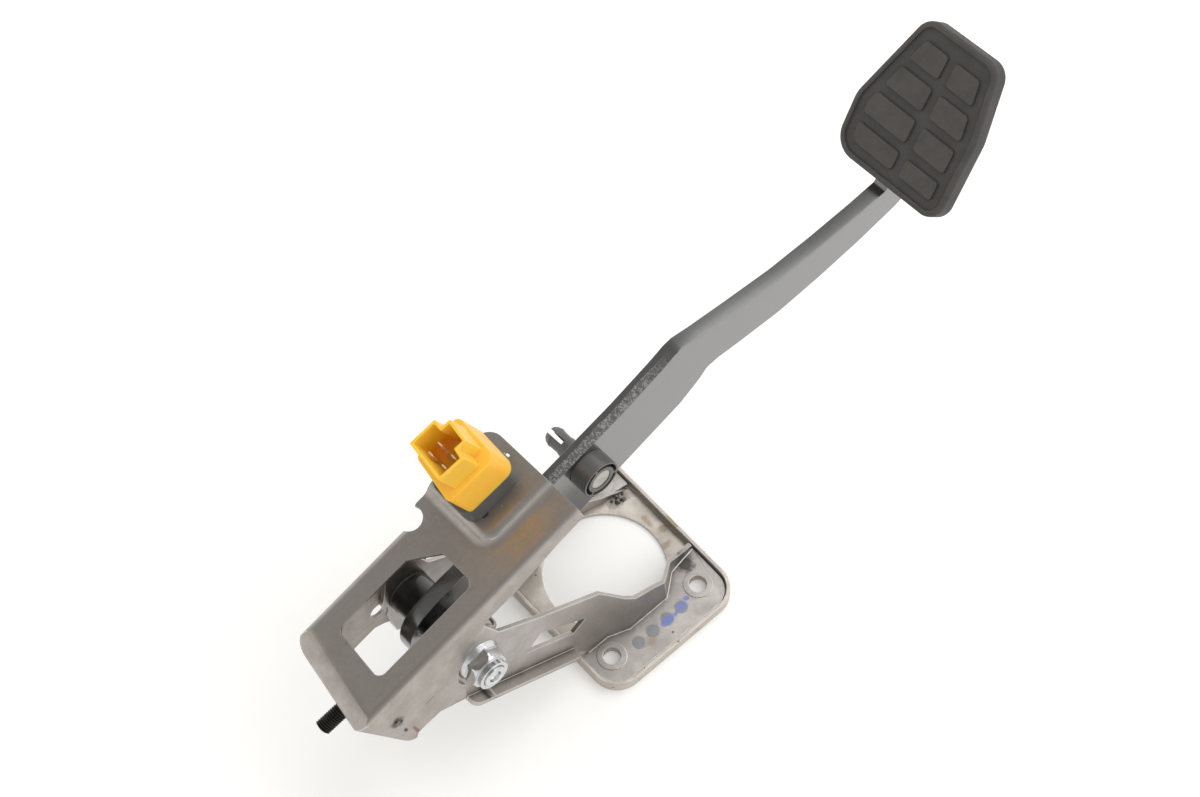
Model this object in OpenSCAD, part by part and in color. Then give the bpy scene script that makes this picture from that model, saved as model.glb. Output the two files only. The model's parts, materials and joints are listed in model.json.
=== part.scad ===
// Clutch pedal with its mounting bracket, lever, return spring and pedal switch.
// The base plate lies flat on z = 0 and the centre of its large hole is the origin.
// +X runs toward the foot pad, +Y across the pedal to the far arm, +Z up to the driver's side.

/* [Base plate] */
// Length of the base plate along the pedal, mm
plate_length = 83; // [70:1:100]
// Width of the base plate across the pedal, mm
plate_width = 106; // [90:1:130]
// Sheet thickness of the base plate, mm
plate_sheet = 2; // [1.5:0.5:3]
// Height of the turned-up rim above the underside, mm
rim_height = 7; // [4:0.5:12]
// Outside corner radius of the base plate, mm
plate_corner = 14; // [6:1:20]
// Diameter of the large hole that the push rod passes through, mm
rod_hole_diameter = 61; // [40:1:64]
// Spacing of the fixing holes along the pedal, mm
bolt_spacing_x = 56; // [50:1:58]
// Spacing of the fixing holes across the pedal, mm
bolt_spacing_y = 72; // [70:1:78]
// Diameter of the four fixing holes, mm
bolt_hole_diameter = 8.6; // [6.5:0.1:10]
// Diameter of the raised ring round each fixing hole, mm
bolt_ring_diameter = 14.5; // [12:0.5:18]

/* [Bracket arms] */
// Sheet thickness of the two arms, mm
arm_sheet = 2.5; // [1.5:0.5:4]
// Clear distance between the two arms at the pivot, mm
arm_gap = 47.5; // [40:0.5:60]
// Width of the stiffening flange under each arm, mm
arm_flange = 6; // [3:0.5:10]
// Step outward of the near arm beside the large hole, mm
near_step = 4; // [0:0.5:6]
// Step outward of the far arm beside the large hole, mm
far_step = 7.5; // [0:0.5:10]
// How far the near arm turns in where it meets the rim, mm
near_turn = 7; // [-4:0.5:9]
// How far the far arm turns in where it meets the rim, mm
far_turn = -2; // [-4:0.5:9]
// Width of the raised spot weld mark, mm
weld_mark_diameter = 6.5; // [4:0.5:8]

/* [Pivot] */
// Place of the pivot along the base plate, mm
pivot_x = -94; // [-110:1:-80]
// Place of the near arm's outer face at the pivot, mm
pivot_y = -18.2; // [-25:0.1:-10]
// Height of the pivot above the base plate's underside, mm
pivot_z = 77.5; // [60:0.5:95]
// Tilt of the pivot axis against the base plate, degrees
axis_tilt = 7; // [0:0.5:10]
// Upward pitch of the lever at rest, degrees
lever_pitch = 14.4; // [5:0.1:25]
// Diameter of the pivot bolt, mm
pivot_bolt_diameter = 12; // [8:1:14]
// Width across the flats of the bolt head and nut, mm
pivot_hex = 18; // [13:1:22]
// Outside diameter of the spacer sleeve, mm
sleeve_diameter = 14.2; // [12:0.1:18]
// Outside diameter of the lever's hub tube, mm
hub_diameter = 22.2; // [20:0.1:28]
// Inside diameter of the hub tube, mm
hub_bore = 18; // [16:0.1:20]
// Length of each pivot bush inside the hub, mm
bush_length = 14; // [8:1:18]

/* [Hood] */
// Sheet thickness of the hood, mm
hood_sheet = 2; // [1.5:0.5:3]
// Height of the hood's top above the pivot, mm
hood_top = 38.8; // [34:0.1:45]
// Distance from the pivot forward to the open mouth of the hood, mm
hood_mouth = 78.5; // [70:0.5:90]
// Radius of the rounded closed end of the hood, mm
nose_radius = 12; // [6:0.5:16]
// Outside radius of the long folds of the hood, mm
fold_radius = 4; // [2.5:0.5:6]
// Height of the raised field under the switch, mm
field_height = 4; // [2:0.5:6]
// Diameter of the threaded stud in the closed end, mm
stud_diameter = 8; // [6:1:10]
// Length of the stud outside the closed end, mm
stud_reach = 18; // [12:0.5:30]

/* [Lever] */
// Thickness of the lever blade, mm
blade_thickness = 8; // [6:0.5:10]
// Distance of the blade's near face from the near arm's outer face, mm
blade_offset = 25; // [23:0.5:30]
// Radius of the blade's rounded end at the pivot, mm
blade_boss = 19; // [16:0.5:22]
// Distance from the pivot to the push rod pin, mm
rod_pin_reach = 97.2; // [80:0.1:110]
// Height of the push rod pin above the pivot, mm
rod_pin_height = 8.6; // [0:0.1:12]
// Diameter of the steel push rod pin, mm
rod_pin_diameter = 10.6; // [8:0.2:12]
// Outside diameter of the pin bush's head, mm
rod_bush_diameter = 20; // [16:0.5:24]
// How far the bush head stands off the blade, mm
rod_bush_reach = 10; // [6:0.5:14]
// How far the snap prongs reach past the blade's far side, mm
prong_reach = 17; // [12:0.5:22]
// Diameter of the seat that the push rod's eye turns on, mm
rod_seat_diameter = 13.6; // [12.4:0.1:14]
// Length of the seat that the push rod's eye turns on, mm
rod_seat_length = 6; // [4:0.5:10]

/* [Foot pad] */
// Thickness of the rubber foot pad without its blocks, mm
pad_thickness = 10; // [8:0.5:14]
// Tilt of the pad against the lever, degrees
pad_tilt = 30; // [15:1:35]
// Depth of the field between the blocks, mm
pad_recess = 1.5; // [0.5:0.1:3]
// Width of the raised rim round the field, mm
pad_rim = 3; // [2:0.5:5]
// Rows of raised blocks
pad_rows = 4; // [3:1:4]
// Pitch of the rows of blocks, mm
pad_row_pitch = 16.7; // [14:0.1:17]
// Gap between neighbouring blocks, mm
pad_block_gap = 4.8; // [3:0.2:8]

/* [Switch] */
// Distance of the switch's middle from the pivot along the hood, mm
switch_x = 56; // [50:0.5:60]
// Distance of the switch's middle from the near arm's outer face, mm
switch_y = 40.5; // [36:0.5:44]
// Length of the switch's base along the hood, mm
switch_length = 31; // [26:0.5:34]
// Width of the switch's base across the hood, mm
switch_width = 26; // [22:0.5:28]
// Height of the black base, mm
switch_base_height = 12; // [8:0.5:16]
// Height of the connector body above the base, mm
connector_height = 42; // [34:0.5:50]
// Length of the connector socket along the hood, mm
socket_length = 22; // [18:0.5:24]
// Width of the connector socket across the hood, mm
socket_width = 23; // [18:0.5:24]
// Diameter of the switch plunger, mm
plunger_diameter = 6; // [4:0.5:8]
// Wire diameter of the small spring behind the plunger, mm
plunger_wire = 0.8; // [0.5:0.1:1.2]

/* [Return spring] */
// Wire diameter of the return spring, mm
spring_wire = 2.4; // [2:0.1:3]
// Mean radius of the return spring's coil, mm
spring_radius = 14.6; // [13.5:0.1:16]
// Number of started turns of the return spring
spring_turns = 4; // [3:1:4]

/* [Render] */
// Name of the node to draw, or all

/* [Hidden] */
$fn = 64;
past = 1;
press_gap = 0.2;
slide_gap = 0.3;
run_gap = 0.05;
arm_far = arm_gap + 2 * arm_sheet;
arm_ear = 15;
hood_near = -hood_sheet;
hood_far = arm_far + hood_sheet;
rim_inner_x = plate_length / 2 - plate_sheet;
rim_inner_y = plate_width / 2 - plate_sheet;
foot_top = plate_sheet + arm_sheet;
foot_gap = 0.5;
flange_corner = 4;
blade_far = blade_offset + blade_thickness;
blade_middle = blade_offset + blade_thickness / 2;
field_top = hood_top + field_height;
nose_x = -45.2;
nose_z = hood_top - nose_radius;
end_lean = 12.9;
end_slant = 9.2;
end_middle = 27;
window_slant = 4.4;
strip_reach = 4;
end_tangent_x = nose_x - nose_radius * cos(end_lean);
end_tangent_z = nose_z - nose_radius * sin(end_lean);
stud_drop = 12.3;
stud_side = -1.6;
hood_corner = 11;
wall_depth = 80;
trim_depth = wall_depth + 10;
trim_back = nose_x - 2 * nose_radius;
near_edge = -10.8;
far_edge = -9.2;
wall_hole_x = -16.6;
wall_hole_z = 1.3;
wall_hole_radius = 4.2;
stud_shank = stud_diameter + 1;
nut_flange_diameter = 23;
nut_flange_height = 2.5;
nut_height = 11.5;
bolt_head_height = 7.5;
thread_pitch = 1.25;
bush_flange = 1;
hub_near = arm_sheet + slide_gap + bush_flange;
hub_far = arm_sheet + arm_gap - slide_gap - bush_flange;
bush_bore = sleeve_diameter + 2 * run_gap;
bush_shank = rod_seat_diameter + 0.4;
spring_leg = [-6.5, -26.5];
striker_length = 14;
striker_sheet = 2.5;
blade_top = 19.8;
neck_diameter = 15;
neck_bottom = hood_top - 10;
plunger_tip = blade_top + slide_gap;
plunger_top = field_top + 3;
plunger_collar = plunger_diameter + 2;
collar_height = 2;
spring_room = 7.4;
socket_floor = 17;
terminal_foot = 12;
terminal_length = 24;
buffer_x = 48;
buffer_y = blade_middle;
buffer_diameter = 10;
buffer_stem = 5;
pad_sheet = 2.5;
pad_lip = 2;
pad_x = 284;
pad_z = -5.9;
blade_slope = 0.1;
spring_hook_x = 17;
spring_hook = [
    spring_hook_x, -blade_boss - blade_slope * spring_hook_x - spring_wire / 2 - slide_gap
];

base_plate();
near_arm();
far_arm();
hood();
hood_stud();
pivot_bolt();
pivot_nut();
pivot_sleeve();
return_spring();
stop_buffer();
switch_base();
switch_connector();
switch_terminals();
plunger_spring();
switch_plunger();
lever();
hub_tube();
near_bush();
far_bush();
switch_striker();
rod_bush();
rod_pin();
pad_plate();
pad_rubber();

// Frames

// Pivot frame: y along the tilted pivot axis from the near arm's outer face, x still level.
module pivot_frame() {
    translate([pivot_x, pivot_y, pivot_z]) {
        rotate([-axis_tilt, 0, 0]) {
            children();
        }
    }
}

// Pedal frame: the pivot frame pitched up so that x runs along the lever and the hood.
module pedal_frame() {
    pivot_frame() {
        rotate([0, -lever_pitch, 0]) {
            children();
        }
    }
}

// Stands a side outline (along, up) on edge between two distances on the pivot axis.
module upright(from, to) {
    translate([0, to, 0]) {
        rotate([90, 0, 0]) {
            linear_extrude(height = to - from) {
                children();
            }
        }
    }
}

// Runs a cross section (across, up) along x.
module lengthwise(from, to) {
    translate([from, 0, 0]) {
        rotate([90, 0, 90]) {
            linear_extrude(height = to - from) {
                children();
            }
        }
    }
}

// A round bar along the pivot axis.
module crosswise_bar(radius, from, to) {
    translate([0, to, 0]) {
        rotate([90, 0, 0]) {
            cylinder(r = radius, h = to - from);
        }
    }
}

module rounded_rect(length, width, radius) {
    square([length - 2 * radius, width], center = true);
    square([length, width - 2 * radius], center = true);
    for (sx = [-1, 1], sy = [-1, 1]) {
        translate([sx * (length / 2 - radius), sy * (width / 2 - radius)]) {
            circle(r = radius);
        }
    }
}

// What a rounded corner loses at the origin of a shape that fills the quarter of +x and +y.
module corner_waste(radius) {
    difference() {
        translate([-past, -past]) {
            square(radius + past);
        }
        translate([radius, radius]) {
            circle(r = radius);
        }
    }
}

function unit(v) = v / norm(v);

// Direction of a path at one of its points.
function path_tangent(path, i) = unit(path[min(i + 1, len(path) - 1)] - path[max(i - 1, 0)]);

// A side direction for each point of a path, carried along from the one before.
function path_sides(path, i, carried) = i == len(path) ? [] :
    let (t = path_tangent(path, i), n = unit(carried - (carried * t) * t))
    concat([n], path_sides(path, i + 1, n));

// Points that round off the corner b of a wire which comes from a and goes on to c.
function wire_bend(a, b, c, radius) = [
    for (s = [0:0.25:1])
        (1 - s) * (1 - s) * (b + radius * unit(a - b)) + 2 * s * (1 - s) * b
        + s * s * (b + radius * unit(c - b))
];

// Points of a coil about the y axis.
function coil_path(radius, start_angle, sweep, start_y, pitch) =
    let (steps = round(sweep / 15))
    [
        for (i = [0:steps])
            let (turned = i * sweep / steps, angle = start_angle + turned)
            [radius * cos(angle), start_y + pitch * turned / 360, radius * sin(angle)]
    ];

// A round wire bent along a path; the side direction may not run along the path's start.
module bent_wire(path, diameter, side, corners) {
    sides_out = path_sides(path, 0, side);
    skin_points = [
        for (i = [0:len(path) - 1], k = [0:corners - 1])
            let (n = sides_out[i], m = cross(path_tangent(path, i), n), a = k * 360 / corners)
            path[i] + diameter / 2 * (cos(a) * n + sin(a) * m)
    ];
    skin = [
        for (i = [0:len(path) - 2], k = [0:corners - 1])
            let (a = i * corners + k, b = i * corners + (k + 1) % corners)
            [a, a + corners, b + corners, b]
    ];
    first = [for (k = [0:corners - 1]) k];
    last = [for (k = [corners - 1:-1:0]) (len(path) - 1) * corners + k];
    polyhedron(points = skin_points, faces = concat(skin, [first, last]), convexity = 10);
}

// Base plate

module at_bolt_holes() {
    for (sx = [-1, 1], sy = [-1, 1]) {
        translate([sx * bolt_spacing_x / 2, sy * bolt_spacing_y / 2, 0]) {
            children();
        }
    }
}

module bolt_hole_cuts() {
    at_bolt_holes() {
        translate([0, 0, -past]) {
            cylinder(d = bolt_hole_diameter, h = rim_height + 2 * past);
        }
    }
}

module base_plate() {
    color("darkgray") {
        difference() {
            linear_extrude(height = rim_height) {
                rounded_rect(plate_length, plate_width, plate_corner);
            }
            translate([0, 0, plate_sheet]) {
                linear_extrude(height = rim_height) {
                    rounded_rect(2 * rim_inner_x, 2 * rim_inner_y, plate_corner - plate_sheet);
                }
            }
            translate([0, 0, -past]) {
                cylinder(d = rod_hole_diameter, h = rim_height, $fn = 96);
            }
            bolt_hole_cuts();
        }
    }
}

// Bracket arms

// Side outline of an arm in the pivot frame, from the hood down to the base plate. Its upper end
// is a round ear about the pivot, with a tongue that runs up inside the hood's wall.
module arm_outline() {
    circle(r = arm_ear);
    difference() {
        polygon([
            [-8, 26], [6, 26], [14, 8], [36, -7.5], [71, -30], [88, -51.5], [100, -56], [112, -62],
            [rim_inner_x - pivot_x - foot_gap, -70], [rim_inner_x - pivot_x - foot_gap, -84],
            [67, -84], [50, -60.5], [-11, -26], [-arm_ear, 0]
        ]);
        arm_slot();
    }
}

// The leaf shaped lightening slot, with one hollow end.
module arm_slot() {
    difference() {
        polygon([[26, -29], [35, -21.5], [60.5, -41], [52.5, -45.5]]);
        translate([27.5, -20]) {
            circle(r = 4);
        }
    }
}

// Line of an arm's outer face seen from above: straight at the pivot, stepped out beside the
// large hole, then turned in to the rim. Distances are inward from the arm's outer face.
function arm_line(step, turn) = [
    [-45, 0], [71, 0], [82, -step], [106, -step], [117, turn - 2.5], [rim_inner_x - pivot_x, turn]
];

// Where a plane across the pivot axis meets the top of the base plate.
function arm_root(offset) =
    pivot_y + (offset + (plate_sheet - pivot_z) * sin(axis_tilt)) / cos(axis_tilt);

// Sheet of an arm in the pivot frame, with its outer face toward -y, open below the base plate.
module arm_web(step, turn) {
    line = arm_line(step, turn);
    inner = [for (i = [len(line) - 1:-1:0]) line[i] + [0, arm_sheet]];
    intersection() {
        upright(-step - past, arm_far) {
            arm_outline();
        }
        translate([0, 0, -pivot_z - past]) {
            linear_extrude(height = 2 * pivot_z) {
                polygon(concat(line, inner));
            }
        }
    }
    arm_lower_flange();
}

// Flange turned outward along the arm's lower edge.
module arm_lower_flange() {
    start = [-11, -26];
    end = [50, -60.5];
    angle = atan2(start[1] - end[1], end[0] - start[0]);
    translate([start[0], -arm_flange, start[1]]) {
        rotate([0, angle, 0]) {
            linear_extrude(height = arm_sheet) {
                difference() {
                    square([norm(end - start), arm_flange + arm_sheet]);
                    corner_waste(flange_corner);
                }
            }
        }
    }
}

// Foot of an arm on the base plate, cut back to the given line, on the side of the given sign.
module arm_foot(edge, side) {
    translate([0, 0, plate_sheet]) {
        linear_extrude(height = arm_sheet) {
            intersection() {
                rounded_rect(
                    2 * (rim_inner_x - foot_gap), 2 * (rim_inner_y - foot_gap),
                    plate_corner - plate_sheet - foot_gap
                );
                polygon(concat(edge, [[plate_length, side * plate_width], [-plate_length, side * plate_width]]));
            }
        }
    }
    for (sx = [-1, 1]) {
        translate([sx * bolt_spacing_x / 2, side * bolt_spacing_y / 2, foot_top]) {
            cylinder(d = bolt_ring_diameter, h = 0.5);
        }
    }
    for (i = [0:3]) {
        translate([-13.5 + i * 9.2, side * 39.5, foot_top]) {
            cylinder(d = weld_mark_diameter, h = press_gap);
        }
    }
}

module above_plate() {
    intersection() {
        children();
        translate([-200, -100, plate_sheet]) {
            cube([400, 200, 200]);
        }
    }
}

// Bores of an arm: the pivot bolt and the return spring's leg.
module arm_bores() {
    crosswise_bar(pivot_bolt_diameter / 2, -arm_flange, arm_far + arm_flange);
}

// Room for the plate's rim where an arm passes over it.
module rim_slot() {
    translate([-plate_length / 2 - slide_gap, -plate_width / 2, 0]) {
        cube([plate_sheet + 2 * slide_gap, plate_width, rim_height + slide_gap]);
    }
}

module near_arm() {
    color("silver") {
        difference() {
            union() {
                above_plate() {
                    pivot_frame() {
                        arm_web(near_step, near_turn);
                    }
                }
                arm_foot([
                    for (p = arm_line(near_step, near_turn)) [p[0] + pivot_x, arm_root(p[1]) + 1]
                ], -1);
            }
            bolt_hole_cuts();
            rim_slot();
            pedal_frame() {
                arm_bores();
                translate([spring_leg[0], 0, spring_leg[1]]) {
                    crosswise_bar(spring_wire / 2 + slide_gap, -past, arm_sheet + past);
                }
            }
        }
    }
}

module far_arm() {
    color("silver") {
        difference() {
            union() {
                above_plate() {
                    pivot_frame() {
                        translate([0, arm_far, 0]) {
                            mirror([0, 1, 0]) {
                                arm_web(far_step, far_turn);
                            }
                        }
                    }
                }
                arm_foot([
                    for (p = arm_line(far_step, far_turn)) [p[0] + pivot_x, arm_root(arm_far - p[1]) - 1]
                ], 1);
            }
            bolt_hole_cuts();
            rim_slot();
            pedal_frame() {
                arm_bores();
                wall_hole();
            }
        }
    }
}

// Hood

// Side outline of the hood's solid envelope, drawn in by an inset.
module hood_side(inset) {
    shift = inset / cos(end_lean);
    foot_z = end_tangent_z - wall_depth;
    translate([nose_x, nose_z]) {
        circle(r = nose_radius - inset);
    }
    polygon([
        [nose_x, hood_top - inset], [2 * hood_mouth, hood_top - inset],
        [2 * hood_mouth, foot_z],
        [end_tangent_x + wall_depth * tan(end_lean) + shift, foot_z],
        [nose_x - (nose_radius - inset) * cos(end_lean), nose_z - (nose_radius - inset) * sin(end_lean)]
    ]);
}

// Cross section of the hood's envelope with rounded folds, drawn in by an inset.
module hood_section(inset) {
    radius = max(fold_radius - inset, 0.5);
    near = hood_near + inset;
    far = hood_far - inset;
    top = hood_top - inset;
    translate([near, -wall_depth]) {
        square([far - near, wall_depth + top - radius]);
    }
    translate([near + radius, 0]) {
        square([far - near - 2 * radius, top]);
    }
    for (y = [near + radius, far - radius]) {
        translate([y, top - radius]) {
            circle(r = radius);
        }
    }
}

// A flat shape along +x between near and far. Its end at x = 0 is slanted, with rounded corners
// that stand out by the slack.
module slanted_end(slope, near, far, radius, slack = 0) {
    near_x = (near + radius) * tan(slope) + radius / cos(slope);
    far_x = (far - radius) * tan(slope) + radius / cos(slope);
    foot = (radius - slack) * [-cos(slope), sin(slope)];
    polygon([
        [near_x, near], [3 * hood_mouth, near], [3 * hood_mouth, far], [far_x, far],
        [far_x, far - radius] + foot, [near_x, near + radius] + foot
    ]);
    translate([near_x, near + radius]) {
        circle(r = radius);
    }
    translate([far_x, far - radius]) {
        circle(r = radius);
    }
}

// Plan of the hood seen along the leaning and slanted closed end, with rounded corners there.
module hood_plan(inset) {
    plan_lean = atan(tan(end_lean) / cos(end_slant));
    slope = atan(tan(end_slant) * cos(plan_lean));
    reach = 2 * hood_mouth;
    play = 0.05;
    translate([end_tangent_x, end_middle, end_tangent_z]) {
        rotate([0, -plan_lean, 0]) {
            translate([(inset - play) / cos(slope), 0, -reach / 2]) {
                linear_extrude(height = reach) {
                    slanted_end(
                        slope, hood_near + inset - play - end_middle,
                        hood_far - inset + play - end_middle, hood_corner - inset
                    );
                }
            }
        }
    }
}

module hood_envelope(inset) {
    intersection() {
        translate([end_tangent_x, end_middle, 0]) {
            rotate([0, 0, -end_slant]) {
                translate([-end_tangent_x, -end_middle, 0]) {
                    upright(hood_near - arm_gap, hood_far + arm_gap) {
                        hood_side(inset);
                    }
                }
            }
        }
        lengthwise(nose_x - 2 * nose_radius, hood_mouth + inset) {
            hood_section(inset);
        }
        hood_plan(inset);
    }
}

// What lies below the near wall's lower edge, with a hollow round the pivot nut.
module hood_near_trim() {
    polygon([
        [hood_mouth + 2, 30.5], [63, 30], [49, 28], [33, 26.3], [17, 26.3], [4, 22], [-4, 14],
        [-13, -9], [-16.7, -16.7], [-29, -6.5], [-42.3, -5.5], [-44.3, -9.3], [-47, near_edge],
        [trim_back, near_edge], [trim_back, -trim_depth], [hood_mouth + 2, -trim_depth]
    ]);
    circle(d = nut_flange_diameter + 4);
}

// What lies below the far wall's lower edge, with a hole round the pivot bolt's head.
module hood_far_trim() {
    polygon([
        [hood_mouth + 2, 30.5], [20, 30], [16, 4], [4, -20], [-9, -24.4], [-13.1, -19.8],
        [-18.5, -12.9], [-23.4, far_edge], [trim_back, far_edge],
        [trim_back, -trim_depth], [hood_mouth + 2, -trim_depth]
    ]);
    circle(d = nut_flange_diameter + 4);
}

// The locating hole through the far wall and the far arm's ear.
module wall_hole() {
    translate([wall_hole_x, arm_far, wall_hole_z]) {
        crosswise_bar(wall_hole_radius, -arm_sheet - past, hood_sheet + past);
    }
}

// The raised field under the switch, open to the mouth and to the far edge.
module hood_field(inset) {
    run = field_height * 0.8;
    near = 15 + inset;
    back = 37 + inset;
    corner = 9;
    bottom = hood_top - hood_sheet - inset;
    top = field_top - inset;
    far = hood_far + strip_reach + 2 * inset;
    front = hood_mouth + 2 * inset;
    lengthwise(back + corner, front) {
        polygon([[near, bottom], [near, hood_top - inset], [near + run, top], [far, top], [far, bottom]]);
    }
    upright(near + corner, far) {
        polygon([[back, bottom], [back, hood_top - inset], [back + run, top], [front, top], [front, bottom]]);
    }
    translate([back + corner, near + corner, 0]) {
        translate([0, 0, bottom]) {
            cylinder(r = corner, h = hood_sheet);
        }
        translate([0, 0, hood_top - inset]) {
            cylinder(r1 = corner, r2 = corner - run, h = field_height);
        }
    }
}

// Flat strip that carries the raised field past the far wall.
module hood_strip() {
    translate([28, hood_far - 8, hood_top - hood_sheet]) {
        cube([hood_mouth - 28, 8 + strip_reach, hood_sheet]);
    }
}

// Rounded corners of the strip: a wide one at the mouth and a small one by the notch.
module hood_strip_corners() {
    translate([0, hood_far + strip_reach, hood_top - 2 * hood_sheet]) {
        linear_extrude(height = field_height + 3 * hood_sheet) {
            translate([hood_mouth, 0]) {
                rotate(180) {
                    corner_waste(9);
                }
            }
            translate([28, 0]) {
                mirror([0, 1, 0]) {
                    corner_waste(3);
                }
            }
        }
    }
}

module hood_window() {
    window_near = 10;
    window_far = 41.6;
    window_front = 22.5;
    translate([0, 0, hood_top - 2 * hood_sheet]) {
        linear_extrude(height = 3 * hood_sheet) {
            difference() {
                intersection() {
                    translate([-35.5, end_middle]) {
                        slanted_end(
                            window_slant, window_near - end_middle, window_far - end_middle, 4, 0.01
                        );
                    }
                    translate([window_front - hood_mouth / 2, (window_near + window_far) / 2]) {
                        rounded_rect(hood_mouth, window_far - window_near, 4);
                    }
                }
                polygon([[8.5, 42], [30, 42], [30, 20], [22.6, 31]]);
            }
        }
    }
}

module hood() {
    color("dimgray") {
        pedal_frame() {
            difference() {
                union() {
                    difference() {
                        hood_envelope(0);
                        hood_envelope(hood_sheet);
                        upright(hood_near - past, end_middle) {
                            hood_near_trim();
                        }
                        upright(end_middle, hood_far + past) {
                            hood_far_trim();
                        }
                        translate([19, arm_far - past, -20]) {
                            cube([hood_mouth, 10, hood_top - hood_sheet + 20]);
                        }
                    }
                    hood_strip();
                    hood_field(0);
                }
                hood_field(hood_sheet);
                hood_window();
                hood_strip_corners();
                translate([23.5, hood_far + 0.5, 0]) {
                    cylinder(r = 6, h = hood_top + past);
                }
                translate([switch_x, switch_y, 0]) {
                    cylinder(d = neck_diameter + 2 * slide_gap, h = field_top + past);
                }
                translate([buffer_x, buffer_y, 0]) {
                    cylinder(d = buffer_stem, h = field_top + past);
                }
                translate([74.4, 41, field_top]) {
                    cube([2.5, 6, 3 * hood_sheet], center = true);
                }
                wall_hole();
                hood_stud_place() {
                    translate([0, 0, -past - hood_sheet]) {
                        cylinder(d = stud_shank, h = 2 * hood_sheet + 2 * past);
                    }
                }
            }
        }
    }
}

// Stud frame: z runs out of the closed end, and z = 0 is the wall's outer face.
module hood_stud_place() {
    translate([end_tangent_x, end_middle, end_tangent_z]) {
        rotate([0, 0, -end_slant]) {
            translate([stud_drop * tan(end_lean), stud_side, -stud_drop]) {
                rotate([0, -90 - end_lean, 0]) {
                    children();
                }
            }
        }
    }
}

module hood_stud() {
    color("black") {
        pedal_frame() {
            hood_stud_place() {
                translate([0, 0, -2 * hood_sheet]) {
                    cylinder(d = 1.6 * stud_diameter, h = hood_sheet);
                }
                translate([0, 0, -hood_sheet]) {
                    cylinder(d = stud_shank, h = hood_sheet);
                }
                cylinder(d = stud_diameter, h = stud_reach - thread_pitch);
                translate([0, 0, stud_reach - thread_pitch]) {
                    cylinder(d1 = stud_diameter, d2 = stud_diameter - 2 * thread_pitch, h = thread_pitch);
                }
            }
        }
    }
}

// Pivot

module hexagon_bar(across, from, to) {
    upright(from, to) {
        circle(d = across / cos(30), $fn = 6);
    }
}

module pivot_bolt() {
    tip = -nut_height - 0.8;
    color("lightgray") {
        pedal_frame() {
            crosswise_bar(pivot_bolt_diameter / 2 - press_gap, tip, arm_far);
            crosswise_bar(nut_flange_diameter / 2, arm_far, arm_far + nut_flange_height);
            hexagon_bar(pivot_hex, arm_far + nut_flange_height, arm_far + bolt_head_height);
        }
    }
}

// Flange nut with a round locking collar at its outer end.
module pivot_nut() {
    collar = 3;
    hex_end = -nut_height + collar;
    color("lightgray") {
        pedal_frame() {
            difference() {
                union() {
                    translate([0, -nut_flange_height, 0]) {
                        rotate([-90, 0, 0]) {
                            cylinder(d1 = pivot_hex + 2, d2 = nut_flange_diameter, h = nut_flange_height);
                        }
                    }
                    intersection() {
                        hexagon_bar(pivot_hex, hex_end, -nut_flange_height + press_gap);
                        translate([0, hex_end, 0]) {
                            rotate([-90, 0, 0]) {
                                cylinder(d1 = pivot_hex + 0.5, d2 = pivot_hex + 8, h = nut_height);
                            }
                        }
                    }
                    crosswise_bar(pivot_hex / 2 - 1, -nut_height, hex_end);
                }
                crosswise_bar(pivot_bolt_diameter / 2, -nut_height - past, past);
            }
        }
    }
}

module pivot_sleeve() {
    color("gray") {
        pedal_frame() {
            difference() {
                crosswise_bar(sleeve_diameter / 2, arm_sheet, arm_sheet + arm_gap);
                crosswise_bar(pivot_bolt_diameter / 2, 0, arm_far);
            }
        }
    }
}

// One flanged bush, its flange at the given distance and its barrel running by a signed length.
module pivot_bush(face, run) {
    color("ivory") {
        pedal_frame() {
            difference() {
                union() {
                    crosswise_bar(hub_diameter / 2, min(face, face - sign(run) * bush_flange),
                                  max(face, face - sign(run) * bush_flange));
                    crosswise_bar(hub_bore / 2, min(face, face + run), max(face, face + run));
                }
                crosswise_bar(bush_bore / 2, 0, arm_far);
            }
        }
    }
}

module near_bush() {
    pivot_bush(hub_near, bush_length);
}

module far_bush() {
    pivot_bush(hub_far, -bush_length);
}

module hub_tube() {
    color("black") {
        pedal_frame() {
            difference() {
                crosswise_bar(hub_diameter / 2, hub_near, hub_far);
                crosswise_bar(hub_bore / 2, 0, arm_far);
            }
        }
    }
}

// Return spring

// Both legs leave the coil on a tangent: one through the near arm, one under the blade.
module return_spring() {
    near_y = arm_sheet + slide_gap + spring_wire / 2 + 1;
    pitch = spring_wire + 0.4;
    corner = 1.2 * spring_wire;
    start_angle = atan2(spring_leg[1], spring_leg[0]) + acos(spring_radius / norm(spring_leg));
    end_angle = atan2(spring_hook[1], spring_hook[0]) - acos(spring_radius / norm(spring_hook));
    sweep = 360 * spring_turns + end_angle - start_angle;
    far_y = near_y + pitch * sweep / 360;
    turns = coil_path(spring_radius, start_angle, sweep, near_y, pitch);
    leg_turn = [spring_leg[0], near_y, spring_leg[1]];
    leg_tip = [spring_leg[0], -9, spring_leg[1]];
    hook_turn = [spring_hook[0], far_y, spring_hook[1]];
    hook_tip = [spring_hook[0], blade_far - 1, spring_hook[1]];
    path = concat(
        [leg_tip],
        wire_bend(leg_tip, leg_turn, turns[0], corner),
        turns,
        wire_bend(turns[len(turns) - 1], hook_turn, hook_tip, corner),
        [hook_tip]
    );
    color("dimgray") {
        pedal_frame() {
            bent_wire(path, spring_wire, [1, 0, 0], 8);
        }
    }
}

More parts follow.
